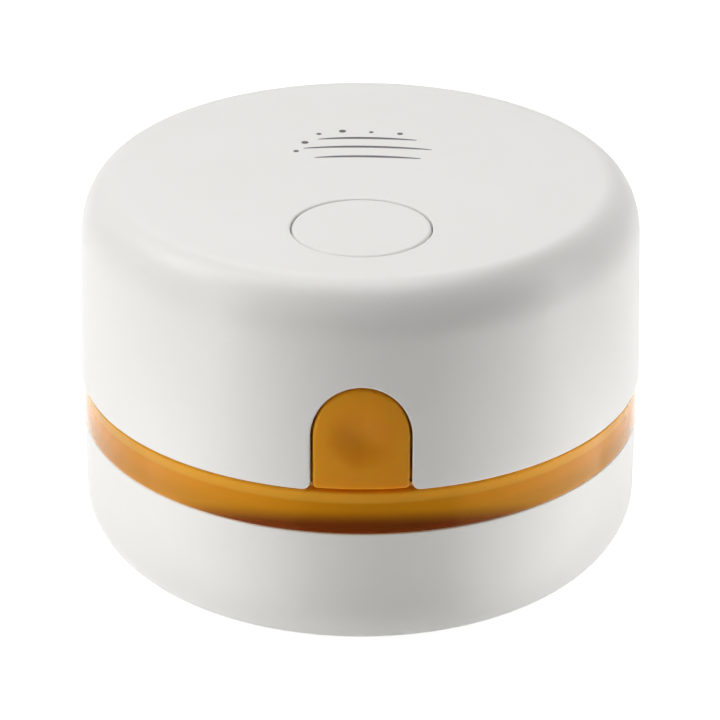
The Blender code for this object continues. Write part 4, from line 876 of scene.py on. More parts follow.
def build_upper_housing():
    """The drafted wall, shoulder and top as one closed skin. Round the tab's opening the grid bends
    into a C whose lines run from the opening's edge out to a patch border."""
    housing = bpy.context.scene.vacuum_housing
    fillet, wall = housing.edge_fillet, housing.wall
    low, top = SHELL_LOW.z, SHELL_HIGH.z
    shoulder_z = top - housing.shoulder_down
    shoulder_r = SHELL_HIGH.x - housing.draft
    patch = math.radians(19)
    patch_top = TAB_TOP_Z + 0.0035

    half_opening = opening_line(fillet)
    count = len(half_opening)
    side_count = count // 2
    # The patch border has as many points as half the opening: part up its side, part to the middle.
    side_z = np.linspace(low + fillet, patch_top, side_count)
    top_turns = np.linspace(patch, 0, count - side_count + 1)[1:]
    border = np.concatenate(
        [
            np.column_stack([np.full(side_count, patch), side_z]),
            np.column_stack([top_turns, np.full(count - side_count, patch_top)]),
        ]
    )
    back_turns = np.linspace(patch, TURN - patch, housing.segments)
    ring = np.concatenate([[-patch], -top_turns, top_turns[:-1][::-1], back_turns])

    shares = np.concatenate([[0, 0.03, 0.08], np.linspace(0.18, 1, 12)])
    grids = []
    for depth in (0, wall):
        radius_of = lambda z, depth=depth: side_radius(z) - depth
        edge = opening_line(fillet)
        turns = np.arcsin(edge[:, 0] / radius_of(edge[:, 1]))
        start = np.column_stack([turns, edge[:, 1]])
        web = ruled(start, border, shares)
        radius = radius_of(web[..., 1])
        right = np.stack(
            [radius * np.sin(web[..., 0]), -radius * np.cos(web[..., 0]), web[..., 1]], axis=-1
        )
        grids += [right, right * (-1, 1, 1)]
        # The plain wall beside and behind the patch.
        radius = radius_of(side_z)
        grids.append(
            np.stack(
                [
                    np.sin(back_turns)[:, None] * radius,
                    -np.cos(back_turns)[:, None] * radius,
                    np.broadcast_to(side_z, (len(back_turns), side_count)),
                ],
                axis=-1,
            )
        )
        # Above the patch: wall, shoulder, and on to the flat top's rim.
        rise = np.linspace(patch_top, shoulder_z, 6)
        wall_line = np.column_stack([radius_of(rise), rise])
        radii = (housing.shoulder_in - depth, housing.shoulder_down - depth)
        middle = (shoulder_r - housing.shoulder_in, shoulder_z)
        shoulder = ellipse_arc(middle, radii, 0, math.pi / 2, 26)
        line = np.concatenate([wall_line, shoulder[1:]])
        grids.append(
            np.stack(
                [
                    np.sin(ring)[:, None] * line[:, 0],
                    -np.cos(ring)[:, None] * line[:, 0],
                    np.broadcast_to(line[:, 1], (len(ring), len(line))),
                ],
                axis=-1,
            )
        )
        # The flat face: lines run from the button's hole out to the rim, each at its own angle.
        rim = np.stack([np.sin(ring), -np.cos(ring)], axis=-1) * line[-1, 0]
        hole_r = bpy.context.scene.vacuum_controls.button_radius + GAP
        hole_edge = hole_r + (fillet if depth == 0 else 0)
        centre = np.array((0, BUTTON_Y))
        hole = centre + np.stack([np.sin(ring), -np.cos(ring)], axis=-1) * hole_edge
        face_shares = np.concatenate([[0, 0.02], np.linspace(0.08, 0.9, 7), [0.985, 1]])
        flat = ruled(hole, rim, face_shares)
        height = np.full(flat.shape[:2] + (1,), line[-1, 1])
        grids.append(np.concatenate([flat, height], axis=-1))
        if depth == 0:
            # The hole's rounded edge and wall, down to the ceiling.
            drop = np.linspace(0, math.pi / 2, 6)
            radius = hole_r + fillet * (1 - np.sin(drop))
            height = top - fillet * (1 - np.cos(drop))
            radius = np.concatenate([radius, [hole_r]])
            height = np.concatenate([height, [top - wall]])
            grids.append(
                np.stack(
                    [
                        np.sin(ring)[:, None] * radius,
                        BUTTON_Y - np.cos(ring)[:, None] * radius,
                        np.broadcast_to(height, (len(ring), len(height))),
                    ],
                    axis=-1,
                )
            )
    # The rim: from the outer skin round a quarter circle, straight through the wall, and out again.
    drop = np.linspace(0, math.pi / 2, 6)
    outer_depth = np.concatenate(
        [
            fillet * (1 - np.cos(drop)),
            [wall - fillet],
            wall - fillet * (1 - np.sin(drop[1:])),
        ]
    )
    inset = np.concatenate([fillet * (1 - np.sin(drop)), [0], fillet * (1 - np.cos(drop[1:]))])
    inset[len(drop) - 1] = 0
    rows = []
    for depth, shift in zip(outer_depth, inset):
        edge = opening_line(shift)
        radius = side_radius(edge[:, 1]) - depth
        rows.append(
            np.stack([edge[:, 0], -np.sqrt(radius**2 - edge[:, 0] ** 2), edge[:, 1]], axis=-1)
        )
    arch = np.stack(rows)
    grids += [arch, arch * (-1, 1, 1)]
    # The lower edge: from the flare's foot out to the patch border, then round the back.
    rows = []
    for depth, shift in zip(outer_depth, inset):
        z = low + shift
        radius = float(side_radius(z)) - depth
        foot = opening_line(shift)[0]
        start = math.asin(foot[0] / radius)
        web = start + (patch - start) * shares
        turns = np.concatenate([web, back_turns[1:-1], TURN - web[::-1]])
        rows.append(
            np.stack(
                [radius * np.sin(turns), -radius * np.cos(turns), np.full(len(turns), z)], axis=-1
            )
        )
    grids.append(np.stack(rows))
    return grids


class VACUUM_OT_upper_housing(bpy.types.Operator):
    """Makes the white upper housing with its exhaust slots and the charging socket's slot"""

    bl_idname = "vacuum.upper_housing"
    bl_label = "Upper Housing"

    def execute(self, context):
        piece = piece_from("upper_housing", build_upper_housing(), housing_finish(), None, None)
        combine(piece, "DIFFERENCE", exhaust_slots() + [socket_slot()])
        finish_piece(piece, "power_unit", "white_shell", "top_shell")
        return {"FINISHED"}


def slot_ring(width, height, steps):
    """A slot with half-round ends: two half circles half a width in radius."""
    radius = min(width, height) / 2
    if height > width:
        top = ellipse_arc((0, height / 2 - radius), (radius, radius), 0, math.pi, steps)
    else:
        centre = (width / 2 - radius, 0)
        top = ellipse_arc(centre, (radius, radius), -math.pi / 2, math.pi / 2, steps)
    return np.concatenate([top, -top])


def exhaust_slots():
    """Upright slots in two groups at the back, each cut straight in towards the axis."""
    slots = []
    z = 0.0365
    for side in (-1, 1):
        for number in range(5):
            turn = math.pi / 2 + side * math.radians(37) + (number - 2) * math.radians(4.5)
            upright = Matrix(((0, 0, 1, 0), (1, 0, 0, 0), (0, 1, 0, z), (0, 0, 0, 1)))
            place = Matrix.Rotation(turn, 4, "Z") @ upright
            slots.append(tool(carried(slot_ring(0.0014, 0.0044, 10), 0.0385, 0.0435, place)))
    return slots


def socket_slot():
    """The charging socket's rounded slot in the back wall."""
    socket_low, socket_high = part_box("usb_socket")
    z = (socket_low.z + socket_high.z) / 2
    ring = slot_ring(0.0098, 0.0040, 14)
    place = Matrix(((1, 0, 0, 0), (0, 0, 1, 0), (0, 1, 0, z), (0, 0, 0, 1)))
    return tool(carried(ring, 0.0385, 0.0435, place))


# ---------------------------------------------------------------- lower housing and cup


class VACUUM_OT_lower_housing(bpy.types.Operator):
    """Makes the white base with its large bottom rounding, foot pockets and screw recesses"""

    bl_idname = "vacuum.lower_housing"
    bl_label = "Lower Housing"

    def execute(self, context):
        housing = context.scene.vacuum_housing
        wall, fillet = housing.wall, housing.edge_fillet
        radius, top, low = BASE_HIGH.x, BASE_HIGH.z, BASE_LOW.z
        radii = (housing.base_round_in, housing.base_round_up)
        centre = (radius - radii[0], low + radii[1])
        inner_radii = (radii[0] - wall, radii[1] - wall)
        rim = profile(
            [
                (radius - wall, centre[1], 0),
                (radius - wall, top, 0.0004),
                (radius, top, fillet),
                (radius, centre[1], 0),
            ]
        )
        outer = ellipse_arc(centre, radii, 0, -math.pi / 2, 30)
        lip = profile(
            [
                (centre[0], low, 0),
                (LIP_RADIUS, low, fillet),
                (LIP_RADIUS, low + wall, fillet),
                (centre[0], low + wall, 0),
            ]
        )
        inner = ellipse_arc(centre, inner_radii, -math.pi / 2, 0, 18)
        line = np.concatenate([rim, outer[1:-1], lip, inner[1:-1]])
        skin = turned(line, housing.segments)
        piece = piece_from("lower_housing", [skin], housing_finish(), None, None)
        tools = []
        for foot in FEET:
            foot_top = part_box(foot)[1].z
            tools.append(tool(peg(SINK_RADIUS, low - OVERRUN, foot_top + GAP, middle_of(foot))))
        for screw in BASE_SCREWS:
            seat = low + HEAD_HEIGHT + GAP
            sink = peg(SINK_RADIUS, low - OVERRUN, seat, middle_of(screw))
            bore = peg(SHANK_RADIUS + GAP, low, low + wall + OVERRUN, middle_of(screw), 32)
            tools += [tool(sink), tool(bore)]
        combine(piece, "DIFFERENCE", tools)
        finish_piece(piece, "dust_box", "white_shell", "base_ring")
        return {"FINISHED"}


class VACUUM_OT_dust_cup(bpy.types.Operator):
    """Makes the clear amber cup: ring, wall, floor and intake chimney in one turned line"""

    bl_idname = "vacuum.dust_cup"
    bl_label = "Dust Cup"

    def execute(self, context):
        housing = context.scene.vacuum_housing
        ring, top, bottom = CUP_HIGH.x, CUP_HIGH.z, BASE_HIGH.z + SEAM
        outer, inner = ring - 0.0023, ring - 0.0039
        rim_inner = ring - 0.002
        floor, floor_top = 0.0072, 0.0088
        corners = [
            (ring, bottom, 0.0002),
            (ring, top, 0.0003),
            (rim_inner, top, 0.0003),
            (rim_inner, 0.0243, 0.0002),
            (inner, 0.0228, 0.0004),
            (inner, floor_top, 0.0014),
            (0.0082, floor_top, 0.0006),
            (0.0075, 0.0195, 0.0004),
            (0.0063, 0.0195, 0.0004),
            (0.0070, floor, 0.0002),
            (0.0252, floor, 0.0002),
            (0.0252, 0.0050, 0.0002),
            (0.0264, 0.0050, 0.0002),
            (0.0264, floor, 0.0003),
            (outer, floor, 0.003),
            (outer, bottom, 0.0002),
        ]
        material = shared("cup", clear_amber, context.scene.vacuum_finish.cup_colour)
        grid = turned(profile(corners), housing.segments)
        piece = piece_from("clear_cup", [grid], material, None, None)
        catch = block((-0.005, -ring + 0.001, 0.0253), (0.005, -rim_inner + 0.0014, 0.0262))
        foot = BASE_LOW.z + housing.wall + GAP
        tools = [tool(catch)]
        for screw in BASE_SCREWS:
            tools.append(tool(peg(BOSS_RADIUS, foot, floor + 0.0008, middle_of(screw))))
        combine(piece, "UNION", tools)
        tools = []
        for screw in BASE_SCREWS:
            tools.append(
                tool(peg(SHANK_RADIUS + GAP, foot - OVERRUN, floor + 0.0004, middle_of(screw), 32))
            )
        combine(piece, "DIFFERENCE", tools)
        finish_piece(piece, "dust_box", "clear_amber", "dust_cup")
        return {"FINISHED"}


# ---------------------------------------------------------------- power button and release tab


class VACUUM_OT_controls(bpy.types.Operator):
    """Makes the round power button and the arched release tab with its dimple"""

    bl_idname = "vacuum.controls"
    bl_label = "Button and Tab"

    def execute(self, context):
        controls = context.scene.vacuum_controls
        radius, top = controls.button_radius + CAP_SPREAD, BUTTON_HIGH.z
        corners = [
            (0, top, 0),
            (radius, top, 0.0005),
            (radius, 0.0577, 0.0001),
            (radius + 0.0012, 0.0577, 0.0001),
            (radius + 0.0012, 0.0567, 0.0001),
            (radius - 0.0012, 0.0567, 0.0001),
            (radius - 0.0012, top - 0.0016, 0.0003),
            (0.0022, top - 0.0016, 0.0003),
            (0.0022, BUTTON_LOW.z, 0.0002),
            (0, BUTTON_LOW.z, 0),
        ]
        grid = turned(profile(corners), 128, (0, BUTTON_Y))
        piece_from(
            "power_cap", [grid], housing_finish(), "power_push", "white_shell", "power_button"
        )
        material = shared("tab", amber_tab, context.scene.vacuum_finish.tab_colour)
        grid = release_tab_grid()
        piece_from("release_tab", [grid], material, "release_push", "amber_tab", "release_button")
        return {"FINISHED"}


def tab_ring(grow, bottom, corner):
    """The tab's whole outline in (x, z) from the crown round by the right side: its foot's corners
    are rounded."""
    right = arch_line(grow, bottom + corner, 26, 16)[::-1]
    half = right[-1, 0]
    foot = ellipse_arc((half - corner, bottom + corner), (corner, corner), 0, -math.pi / 2, 6)[1:]
    flat = np.column_stack([np.linspace(half - corner, 0, 10)[1:], np.full(9, bottom)])
    right = np.concatenate([right, foot, flat])
    left = right[::-1][1:] * (-1, 1)
    return np.concatenate([right, left])


def release_tab_grid():
    """Rings run from the dimple's middle out to the tab's edge, over its rounding, back to the
    flange and in again. The face lies on the housing's drafted cone less a recess, and the dimple
    is a raised cosine in the distance from its middle."""
    controls = bpy.context.scene.vacuum_controls
    bottom = SHELL_LOW.z + GAP
    edge = controls.tab_edge
    middle = np.array((0, DIMPLE_Z))
    recess = 0.0001
    outline = tab_ring(0, bottom, 0.0006)
    inner = tab_ring(-edge, bottom + edge, 0.0004)
    rows = []
    for share in np.concatenate([np.linspace(0, 0.95, 26), [0.985, 1]]):
        rows.append((middle + (inner - middle) * share, 0.0))
    for turn in np.linspace(0, math.pi / 2, 7)[1:]:
        rows.append((inner + (outline - inner) * math.sin(turn), edge * (1 - math.cos(turn))))
    face = []
    for ring, depth in rows:
        radius = side_radius(ring[:, 1]) - recess - depth
        y = -np.sqrt(radius**2 - ring[:, 0] ** 2)
        away = np.hypot(ring[:, 0], ring[:, 1] - DIMPLE_Z) / controls.dimple_radius
        bowl = np.where(away < 1, 0.5 + 0.5 * np.cos(math.pi * np.minimum(away, 1)), 0)
        face.append(np.column_stack([ring[:, 0], y + controls.dimple_depth * bowl, ring[:, 1]]))
    flange = tab_ring(0.0009, bottom, 0.0003)
    front, back = TAB_FLANGE_Y, TAB_FLANGE_Y + 0.0008
    for ring, y in ((outline, front), (flange, front), (flange, back), (flange * 0 + middle, back)):
        face.append(np.column_stack([ring[:, 0], np.full(len(ring), y), ring[:, 1]]))
    return np.stack(face)


# ---------------------------------------------------------------- stage


class VACUUM_OT_stage(bpy.types.Operator):
    """Makes the floor, the soft lamps, the even room light and the camera"""

    bl_idname = "vacuum.stage"
    bl_label = "Stage"

    def execute(self, context):
        stage = context.scene.vacuum_stage
        add_camera(stage)
        add_floor()
        add_room(stage)
        for name, place, size, share in OVERHEAD_LAMPS:
            add_lamp(name, place, size, stage.overhead_power * share)
        for name, place, size, share in STRIP_LAMPS:
            add_lamp(name, place, size, stage.strip_power * share)
        for name, azimuth, share in TABLE_PANELS:
            add_table_panel(name, azimuth, stage.table_power * share)
        context.scene.view_settings.view_transform = "Standard"
        return {"FINISHED"}


def add_camera(stage):
    """Stands where the photograph was taken from, turned down by the same angle."""
    pitch, yaw, roll = 0.456, 0.0043, 0.0036
    ahead = Vector(
        (math.sin(yaw) * math.cos(pitch), math.cos(yaw) * math.cos(pitch), -math.sin(pitch))
    )
    level = Vector((math.cos(yaw), -math.sin(yaw), 0))
    up = level.cross(ahead)
    right = level * math.cos(roll) + up * math.sin(roll)
    above = up * math.cos(roll) - level * math.sin(roll)
    data = bpy.data.cameras.new("camera")
    data.lens = stage.lens
    data.sensor_width = 36
    data.clip_start = 0.01
    camera = bpy.data.objects.new("camera", data)
    turn = Matrix((right, above, -ahead)).transposed().to_4x4()
    camera.matrix_world = Matrix.Translation((-0.0021565, -0.4857362, 0.2673612)) @ turn
    bpy.context.scene.collection.objects.link(camera)
    bpy.context.scene.camera = camera


def seen_directly(tree):
    """1 on rays from the camera, from a mirror and through clear plastic, 0 on light."""
    path = add_node(tree, "ShaderNodeLightPath")
    first = add_node(
        tree,
        "ShaderNodeMath",
        {"operation": "MAXIMUM"},
        in_0=path.outputs["Is Camera Ray"],
        in_1=path.outputs["Is Glossy Ray"],
    )
    return add_node(
        tree,
        "ShaderNodeMath",
        {"operation": "MAXIMUM"},
        in_0=first.outputs[0],
        in_1=path.outputs["Is Transmission Ray"],
    ).outputs[0]


def add_floor():
    """A pale matt sheet. It glows a little where it is seen directly, which lifts it to white and
    keeps the shadow."""
    size = 3.0
    steps = np.linspace(-size, size, 3)
    x, y = np.meshgrid(steps, steps, indexing="ij")
    grid = np.stack([x, y, np.full_like(x, -0.00005)], axis=-1)
    material, tree, shader = new_material(
        "pale_paper_sheet", base_color=linear("#F2F2F1"), roughness=0.9
    )
    glow = add_node(
        tree, "ShaderNodeMath", {"operation": "MULTIPLY"}, in_0=seen_directly(tree), in_1=0.85
    )
    shader.inputs["Emission Color"].default_value = (1, 1, 1, 1)
    tree.links.new(glow.outputs[0], shader.inputs["Emission Strength"])
    floor = piece_from("floor", [grid], material, None, None)
    if floor.data.polygons[0].normal.z < 0:
        floor.data.flip_normals()


def add_room(stage):
    """Even light from all sides, and plain white where the room is seen directly."""
    world = bpy.data.worlds.new("room")
    bpy.context.scene.world = world
    world.use_nodes = True
    tree = world.node_tree
    tree.nodes.clear()
    lit = add_node(tree, "ShaderNodeBackground", strength=stage.room_light)
    white = add_node(tree, "ShaderNodeBackground", strength=1.0)
    lit.inputs["Color"].default_value = (1, 1, 1, 1)
    white.inputs["Color"].default_value = (1, 1, 1, 1)
    mix = add_node(
        tree,
        "ShaderNodeMixShader",
        in_0=seen_directly(tree),
        in_1=lit.outputs[0],
        in_2=white.outputs[0],
    )
    add_node(tree, "ShaderNodeOutputWorld", surface=mix.outputs[0])


def add_lamp(name, place, size, power):
    """A rectangular lamp that faces the object."""
    aim = Vector((0, 0, 0.03)) - Vector(place)
    turn = aim.to_track_quat("-Z", "Y").to_matrix().to_4x4()
    light_object(name, Matrix.Translation(place) @ turn, size, power)


def add_table_panel(name, azimuth, power):
    """A panel lying on the table whose inner edge points away from the object's wall. The wall
    mirrors that edge at half its azimuth."""
    side = math.copysign(1, azimuth)
    along = math.radians(azimuth)
    wall = along / 2
    u = Vector((math.sin(along), -math.cos(along), 0))
    n = Vector((math.cos(along), math.sin(along), 0)) * side
    start = Vector((math.sin(wall), -math.cos(wall), 0)) * SHELL_HIGH.x
    centre = start + u * 0.075 + n * 0.05 + Vector((0, 0, 0.0006))
    turn = Matrix.Rotation(math.atan2(u.y, u.x), 4, "Z") @ Matrix.Rotation(math.pi, 4, "X")
    light_object(name, Matrix.Translation(centre) @ turn, (0.13, 0.10), power)


def light_object(name, place, size, power):
    data = bpy.data.lights.new(name, "AREA")
    data.shape = "RECTANGLE"
    data.size, data.size_y = size
    data.energy = power
    lamp = bpy.data.objects.new(name, data)
    lamp.matrix_world = place
    lamp.visible_camera = False
    bpy.context.scene.collection.objects.link(lamp)


# ---------------------------------------------------------------- underside


def brush_angles():
    return [math.pi / 2 * number for number in range(len(STRIPS))]


class VACUUM_OT_brush_plate(bpy.types.Operator):
    """Makes the grey underside plate with its flared inlet and the channels for the bristles"""

    bl_idname = "vacuum.brush_plate"
    bl_label = "Brush Plate"

    def execute(self, context):
        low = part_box("brush_plate")[0]
        plate_top = low.z + 0.0017
        flange, flange_top = low.z + 0.0023, low.z + 0.0035
        collar = CHIMNEY_RADIUS + 0.0012
        corners = [
            (CHIMNEY_RADIUS + 0.0018, low.z, 0.0008),
            (PLATE_RADIUS, low.z, 0.0003),
            (PLATE_RADIUS, flange, 0),
            (PLATE_RADIUS + 0.0017, flange, 0.0002),
            (PLATE_RADIUS + 0.0017, flange_top, 0.0002),
            (PLATE_RADIUS - 0.0015, flange_top, 0.0002),
            (PLATE_RADIUS - 0.0015, plate_top, 0.0003),
            (collar, plate_top, 0.0003),
            (collar, 0.0069, 0.0002),
            (CHIMNEY_RADIUS, 0.0069, 0.0002),
            (CHIMNEY_RADIUS, plate_top, 0.0008),
        ]
        material = shared("grey", plain_plastic, "grey_moulded_abs", *GREY)
        piece = piece_from("underside_plate", [turned(profile(corners), 180)], material, None, None)
        slot = BRUSH_WIDTH / 2 + GAP
        groove_top = 0.0055
        channels, grooves = [], []
        for angle in brush_angles():
            wide = BRUSH_ANGLE + 2 * 0.0015 / BRUSH_RADIUS
            outer, inner = BRUSH_RADIUS + slot, BRUSH_RADIUS - slot
            channels.append(
                tool(
                    arched_bar(inner - 0.0012, outer + 0.0012, wide, low.z + 0.0008, 0.0067, angle)
                )
            )
            narrow = BRUSH_ANGLE + 2 * GAP / BRUSH_RADIUS
            grooves.append(
                tool(arched_bar(inner, outer, narrow, low.z - OVERRUN, groove_top, angle))
            )
        combine(piece, "UNION", channels)
        combine(piece, "DIFFERENCE", grooves)
        finish_piece(piece, "dust_box", "grey_plastic", "brush_plate")
        return {"FINISHED"}


def bristle_paths(settings, angle, seed):
    """Strands in tufts along two rows. Each leaves its tuft's hole upright and leans outwards as
    the square of its length, with a little scatter of its own."""
    draw = np.random.default_rng(seed)
    tufts, strands = settings.tufts, settings.strands
    spread = BRUSH_ANGLE - 0.0016 / BRUSH_RADIUS
    turns = angle + np.linspace(-spread / 2, spread / 2, tufts)
    rows = np.array([-0.00062, 0.00062])
    turn = turns[None, :, None] + np.zeros((2, tufts, strands))
    turn[1] += spread / tufts / 2 * 0.8
    reach = BRUSH_RADIUS + rows[:, None, None] + np.zeros_like(turn)
    scatter = 0.00030 * np.sqrt(draw.random((2, tufts, strands)))
    way = draw.random((2, tufts, strands)) * TURN
    along, across = scatter * np.cos(way), scatter * np.sin(way)
    lean_out = rows[:, None, None] * 0.45 + across * 0.9 + draw.normal(0, 0.00006, turn.shape)
    lean_side = along * 0.9 + draw.normal(0, 0.00006, turn.shape)
    top, tip = 0.0044, 0.00032 + 0.00035 * draw.random(turn.shape)
    share = np.linspace(0, 1, 5)[:, None, None, None]
    radius = reach + across + lean_out * share**2
    side = turn + (along + lean_side * share**2) / BRUSH_RADIUS
    height = top + (tip - top) * share
    path = np.stack([radius * np.cos(side), radius * np.sin(side), height], axis=-1)
    return path.reshape(len(share), -1, 3)


def strand_grids(paths, radius):
    """A three-sided strand round every path, thinner towards its tip and closed at both ends."""
    rings = len(paths)
    turns = np.linspace(0, TURN, 4)
    around = np.stack([np.cos(turns), np.sin(turns), np.zeros(4)], axis=-1)
    thick = radius * np.concatenate([[0], np.linspace(1, 0.75, rings - 1), [0.6, 0]])
    paths = np.concatenate([paths[:1], paths[:-1], paths[-1:], paths[-1:]])
    grid = paths[:, :, None] + around * thick[:, None, None, None]
    return list(np.moveaxis(grid, 0, 1))


class VACUUM_OT_bristles(bpy.types.Operator):
    """Makes the four curved brush strips: a backing with tufts of fine nylon strands"""

    bl_idname = "vacuum.bristles"
    bl_label = "Bristles"

    def execute(self, context):
        settings = context.scene.vacuum_underside
        material = shared("bristle", bristle_nylon)
        half = BRUSH_WIDTH / 2
        for number, (node, angle) in enumerate(zip(STRIPS, brush_angles())):
            backing = arched_bar(
                BRUSH_RADIUS - half, BRUSH_RADIUS + half, BRUSH_ANGLE, 0.0042, 0.0052, angle
            )
            strands = strand_grids(bristle_paths(settings, angle, number), settings.strand_radius)
            name = f"bristles_{number + 1}"
            piece_from(name, [backing, *strands], material, "dust_box", "bristle", node)
        return {"FINISHED"}


class VACUUM_OT_feet(bpy.types.Operator):
    """Makes the four silicone feet with soft edges"""

    bl_idname = "vacuum.feet"
    bl_label = "Feet"

    def execute(self, context):
        grids = []
        for node in FEET:
            low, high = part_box(node)
            radius = (high.x - low.x) / 2
            corners = [(0, 0, 0), (radius, 0, 0.0005), (radius, high.z, 0.0001), (0, high.z, 0)]
            grids.append(turned(profile(corners), 48, middle_of(node), closed=False))
        material = shared("silicone", moulded_silicone)
        piece_from("soft_feet", grids, material, "dust_box", "silicone", *FEET)
        return {"FINISHED"}


def cross_outline(turns, length, half_width):
    """Distance from the middle to the edge of a cross: the nearer of an arm's end and its side."""
    folded = np.abs((turns + math.pi / 4) % (math.pi / 2) - math.pi / 4)
    return np.minimum(length / np.cos(folded), half_width / np.maximum(np.sin(folded), 1e-6))


def screw_grid(node, seat, length):
    """A pan head with a cross recess under a threaded shank. Across the recess the radius follows
    the cross; along the shank it follows a ridge that climbs one pitch a turn."""
    x, y = middle_of(node)
    turns = np.linspace(0, TURN, 97)
    ones = np.ones_like(turns)
    pitch = 0.00045
    rows = []
    floor = seat - HEAD_HEIGHT
    cross = cross_outline(turns, 0.00115, 0.00022)
    rows.append((0 * ones, floor + 0.00060))
    rows.append((cross * 0.45, floor + 0.00060))
    rows.append((cross * 0.96, floor + 0.00006))
    rows.append((cross * 1.00, floor + 0.00001))
    rows.append((cross * 1.04, floor))
    for share in (0.35, 0.7):
        rows.append((cross * (1 - share) + 0.00145 * share, floor + 0.00002 * share))
    for turn in np.linspace(0, math.pi / 2, 7):
        height = floor + 0.0003 * (1 - math.cos(turn))
        rows.append(((0.00145 + 0.00055 * math.sin(turn)) * ones, height))
    rows.append((HEAD_RADIUS * ones, seat - 0.00008))
    rows.append(((HEAD_RADIUS - 0.00008) * ones, seat))
    rows.append((SHANK_RADIUS * 0.86 * ones, seat))
    heights = np.arange(seat + 0.0003, seat + length - 0.0006, pitch / 8)
    for z in heights:
        ridge = np.abs(((z / pitch - turns / TURN) % 1) - 0.5) * 2
        rows.append((SHANK_RADIUS * (0.82 + 0.18 * np.clip(1.6 * ridge - 0.5, 0, 1)), z))
    rows.append((SHANK_RADIUS * 0.55 * ones, seat + length - 0.0001))
    rows.append((0 * ones, seat + length))
    radius = np.stack([row[0] * ones for row in rows])
    radius[:, -1] = radius[:, 0]
    height = np.array([row[1] for row in rows])[:, None] + 0 * radius
    return np.stack([x + radius * np.cos(turns), y + radius * np.sin(turns), height], axis=-1)


class VACUUM_OT_base_screws(bpy.types.Operator):
    """Makes the three base screws with a cross recess and a thread"""

    bl_idname = "vacuum.base_screws"
    bl_label = "Base Screws"

    def execute(self, context):
        seat = BASE_LOW.z + HEAD_HEIGHT
        material = shared("zinc", metal, "zinc_plated_steel", *ZINC)
        grids = [screw_grid(node, seat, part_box(node)[1].z - seat) for node in BASE_SCREWS]
        piece_from("pan_screws", grids, material, "dust_box", "zinc_steel", *BASE_SCREWS)
        return {"FINISHED"}


# ---------------------------------------------------------------- chassis and filter

class VACUUM_OT_chassis(bpy.types.Operator):
    """Makes the unit's white chassis: the spigot that shows through the cup, the plate with the
    fan's intake, the fan chamber, ducts, bosses and latch post"""

    bl_idname = "vacuum.chassis"
    bl_label = "Chassis"

    def execute(self, context):
        corners = [
            (0.011, PLATE_LOW, 0.0006),
            (SPIGOT_INNER, PLATE_LOW, 0.0005),
            (SPIGOT_INNER, SPIGOT_LOW, 0.0003),
            (SPIGOT_OUTER, SPIGOT_LOW, 0.0003),
            (SPIGOT_OUTER, PLATE_TOP, 0.0003),
            (SCROLL_RADIUS + 0.0015, PLATE_TOP, 0.0004),
            (SCROLL_RADIUS + 0.0015, SCROLL_TOP, 0.0002),
            (SCROLL_RADIUS, SCROLL_TOP, 0.0002),
            (SCROLL_RADIUS, PLATE_TOP, 0.0004),
            (0.011, PLATE_TOP, 0.0006),
        ]
        material = shared("frame", plain_plastic, "white_moulded_abs", *FRAME_WHITE)
        piece = piece_from("chassis", [turned(profile(corners), 216)], material, None, None)
        combine(piece, "UNION", chassis_bosses())
        combine(piece, "DIFFERENCE", chassis_openings())
        finish_piece(piece, "power_unit", "white_frame", "inner_frame")
        return {"FINISHED"}


def chassis_bosses():
    """Cover bosses, latch post, board stands and duct walls, each rooted in the plate."""
    root = (PLATE_LOW + PLATE_TOP) / 2
    tools = [tool(peg(BOSS_RADIUS, root, SCROLL_TOP, middle_of(node))) for node in COVER_SCREWS]
    post_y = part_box("latch_spring")[1].y + GAP
    tools.append(tool(block((-0.0048, post_y, root), (0.0048, post_y + 0.0032, 0.0443))))
    board_y = middle_of("charge_board")[1]
    for x in (-0.0067, 0.0067):
        tools.append(tool(peg(0.001, root, PLATE_TOP + 0.001, (x, board_y), 32)))
    for side in (-1, 1):
        for edge in (-1, 1):
            turn = math.pi / 2 + side * math.radians(37) + edge * math.radians(15)
            wall = block((0.0252, -0.0006, root), (SPIGOT_OUTER - GAP, 0.0006, SCROLL_TOP))
            tools.append(tool(moved(wall, Matrix.Rotation(turn, 4, "Z"))))
    return tools


def chassis_openings():
    """Duct mouths, screw bores, the latch's notch and the pocket behind the release tab."""
    tools = []
    for side in (-1, 1):
        turn = math.pi / 2 + side * math.radians(37)
        mouth = block((0.0235, -0.006, PLATE_TOP), (0.027, 0.006, SCROLL_TOP + OVERRUN))
        tools.append(tool(moved(mouth, Matrix.Rotation(turn, 4, "Z"))))
    bore = SHANK_RADIUS + GAP
    for node in COVER_SCREWS:
        tools.append(tool(peg(bore, PLATE_TOP - 0.0009, SCROLL_TOP + OVERRUN, middle_of(node), 32)))
    for node in FRAME_SCREWS:
        tools.append(
            tool(peg(bore, PLATE_LOW - OVERRUN, PLATE_TOP + OVERRUN, middle_of(node), 32))
        )
    high = PLATE_TOP + OVERRUN
    notch = ((-0.0051, -SPIGOT_INNER, PLATE_LOW - OVERRUN), (0.0051, -FILTER_FLAT, high))
    pocket = ((-0.0084, -SPIGOT_OUTER - OVERRUN, 0.029), (0.0084, TAB_FLANGE_Y + 0.0021, high))
    return tools + [tool(block(*notch)), tool(block(*pocket))]


def flat_fronted(radius, flat, steps=180):
    """A circle whose front is cut straight across."""
    start = math.asin(-flat / radius)
    return ellipse_arc((0, 0), (radius, radius), start, math.pi - start, steps)


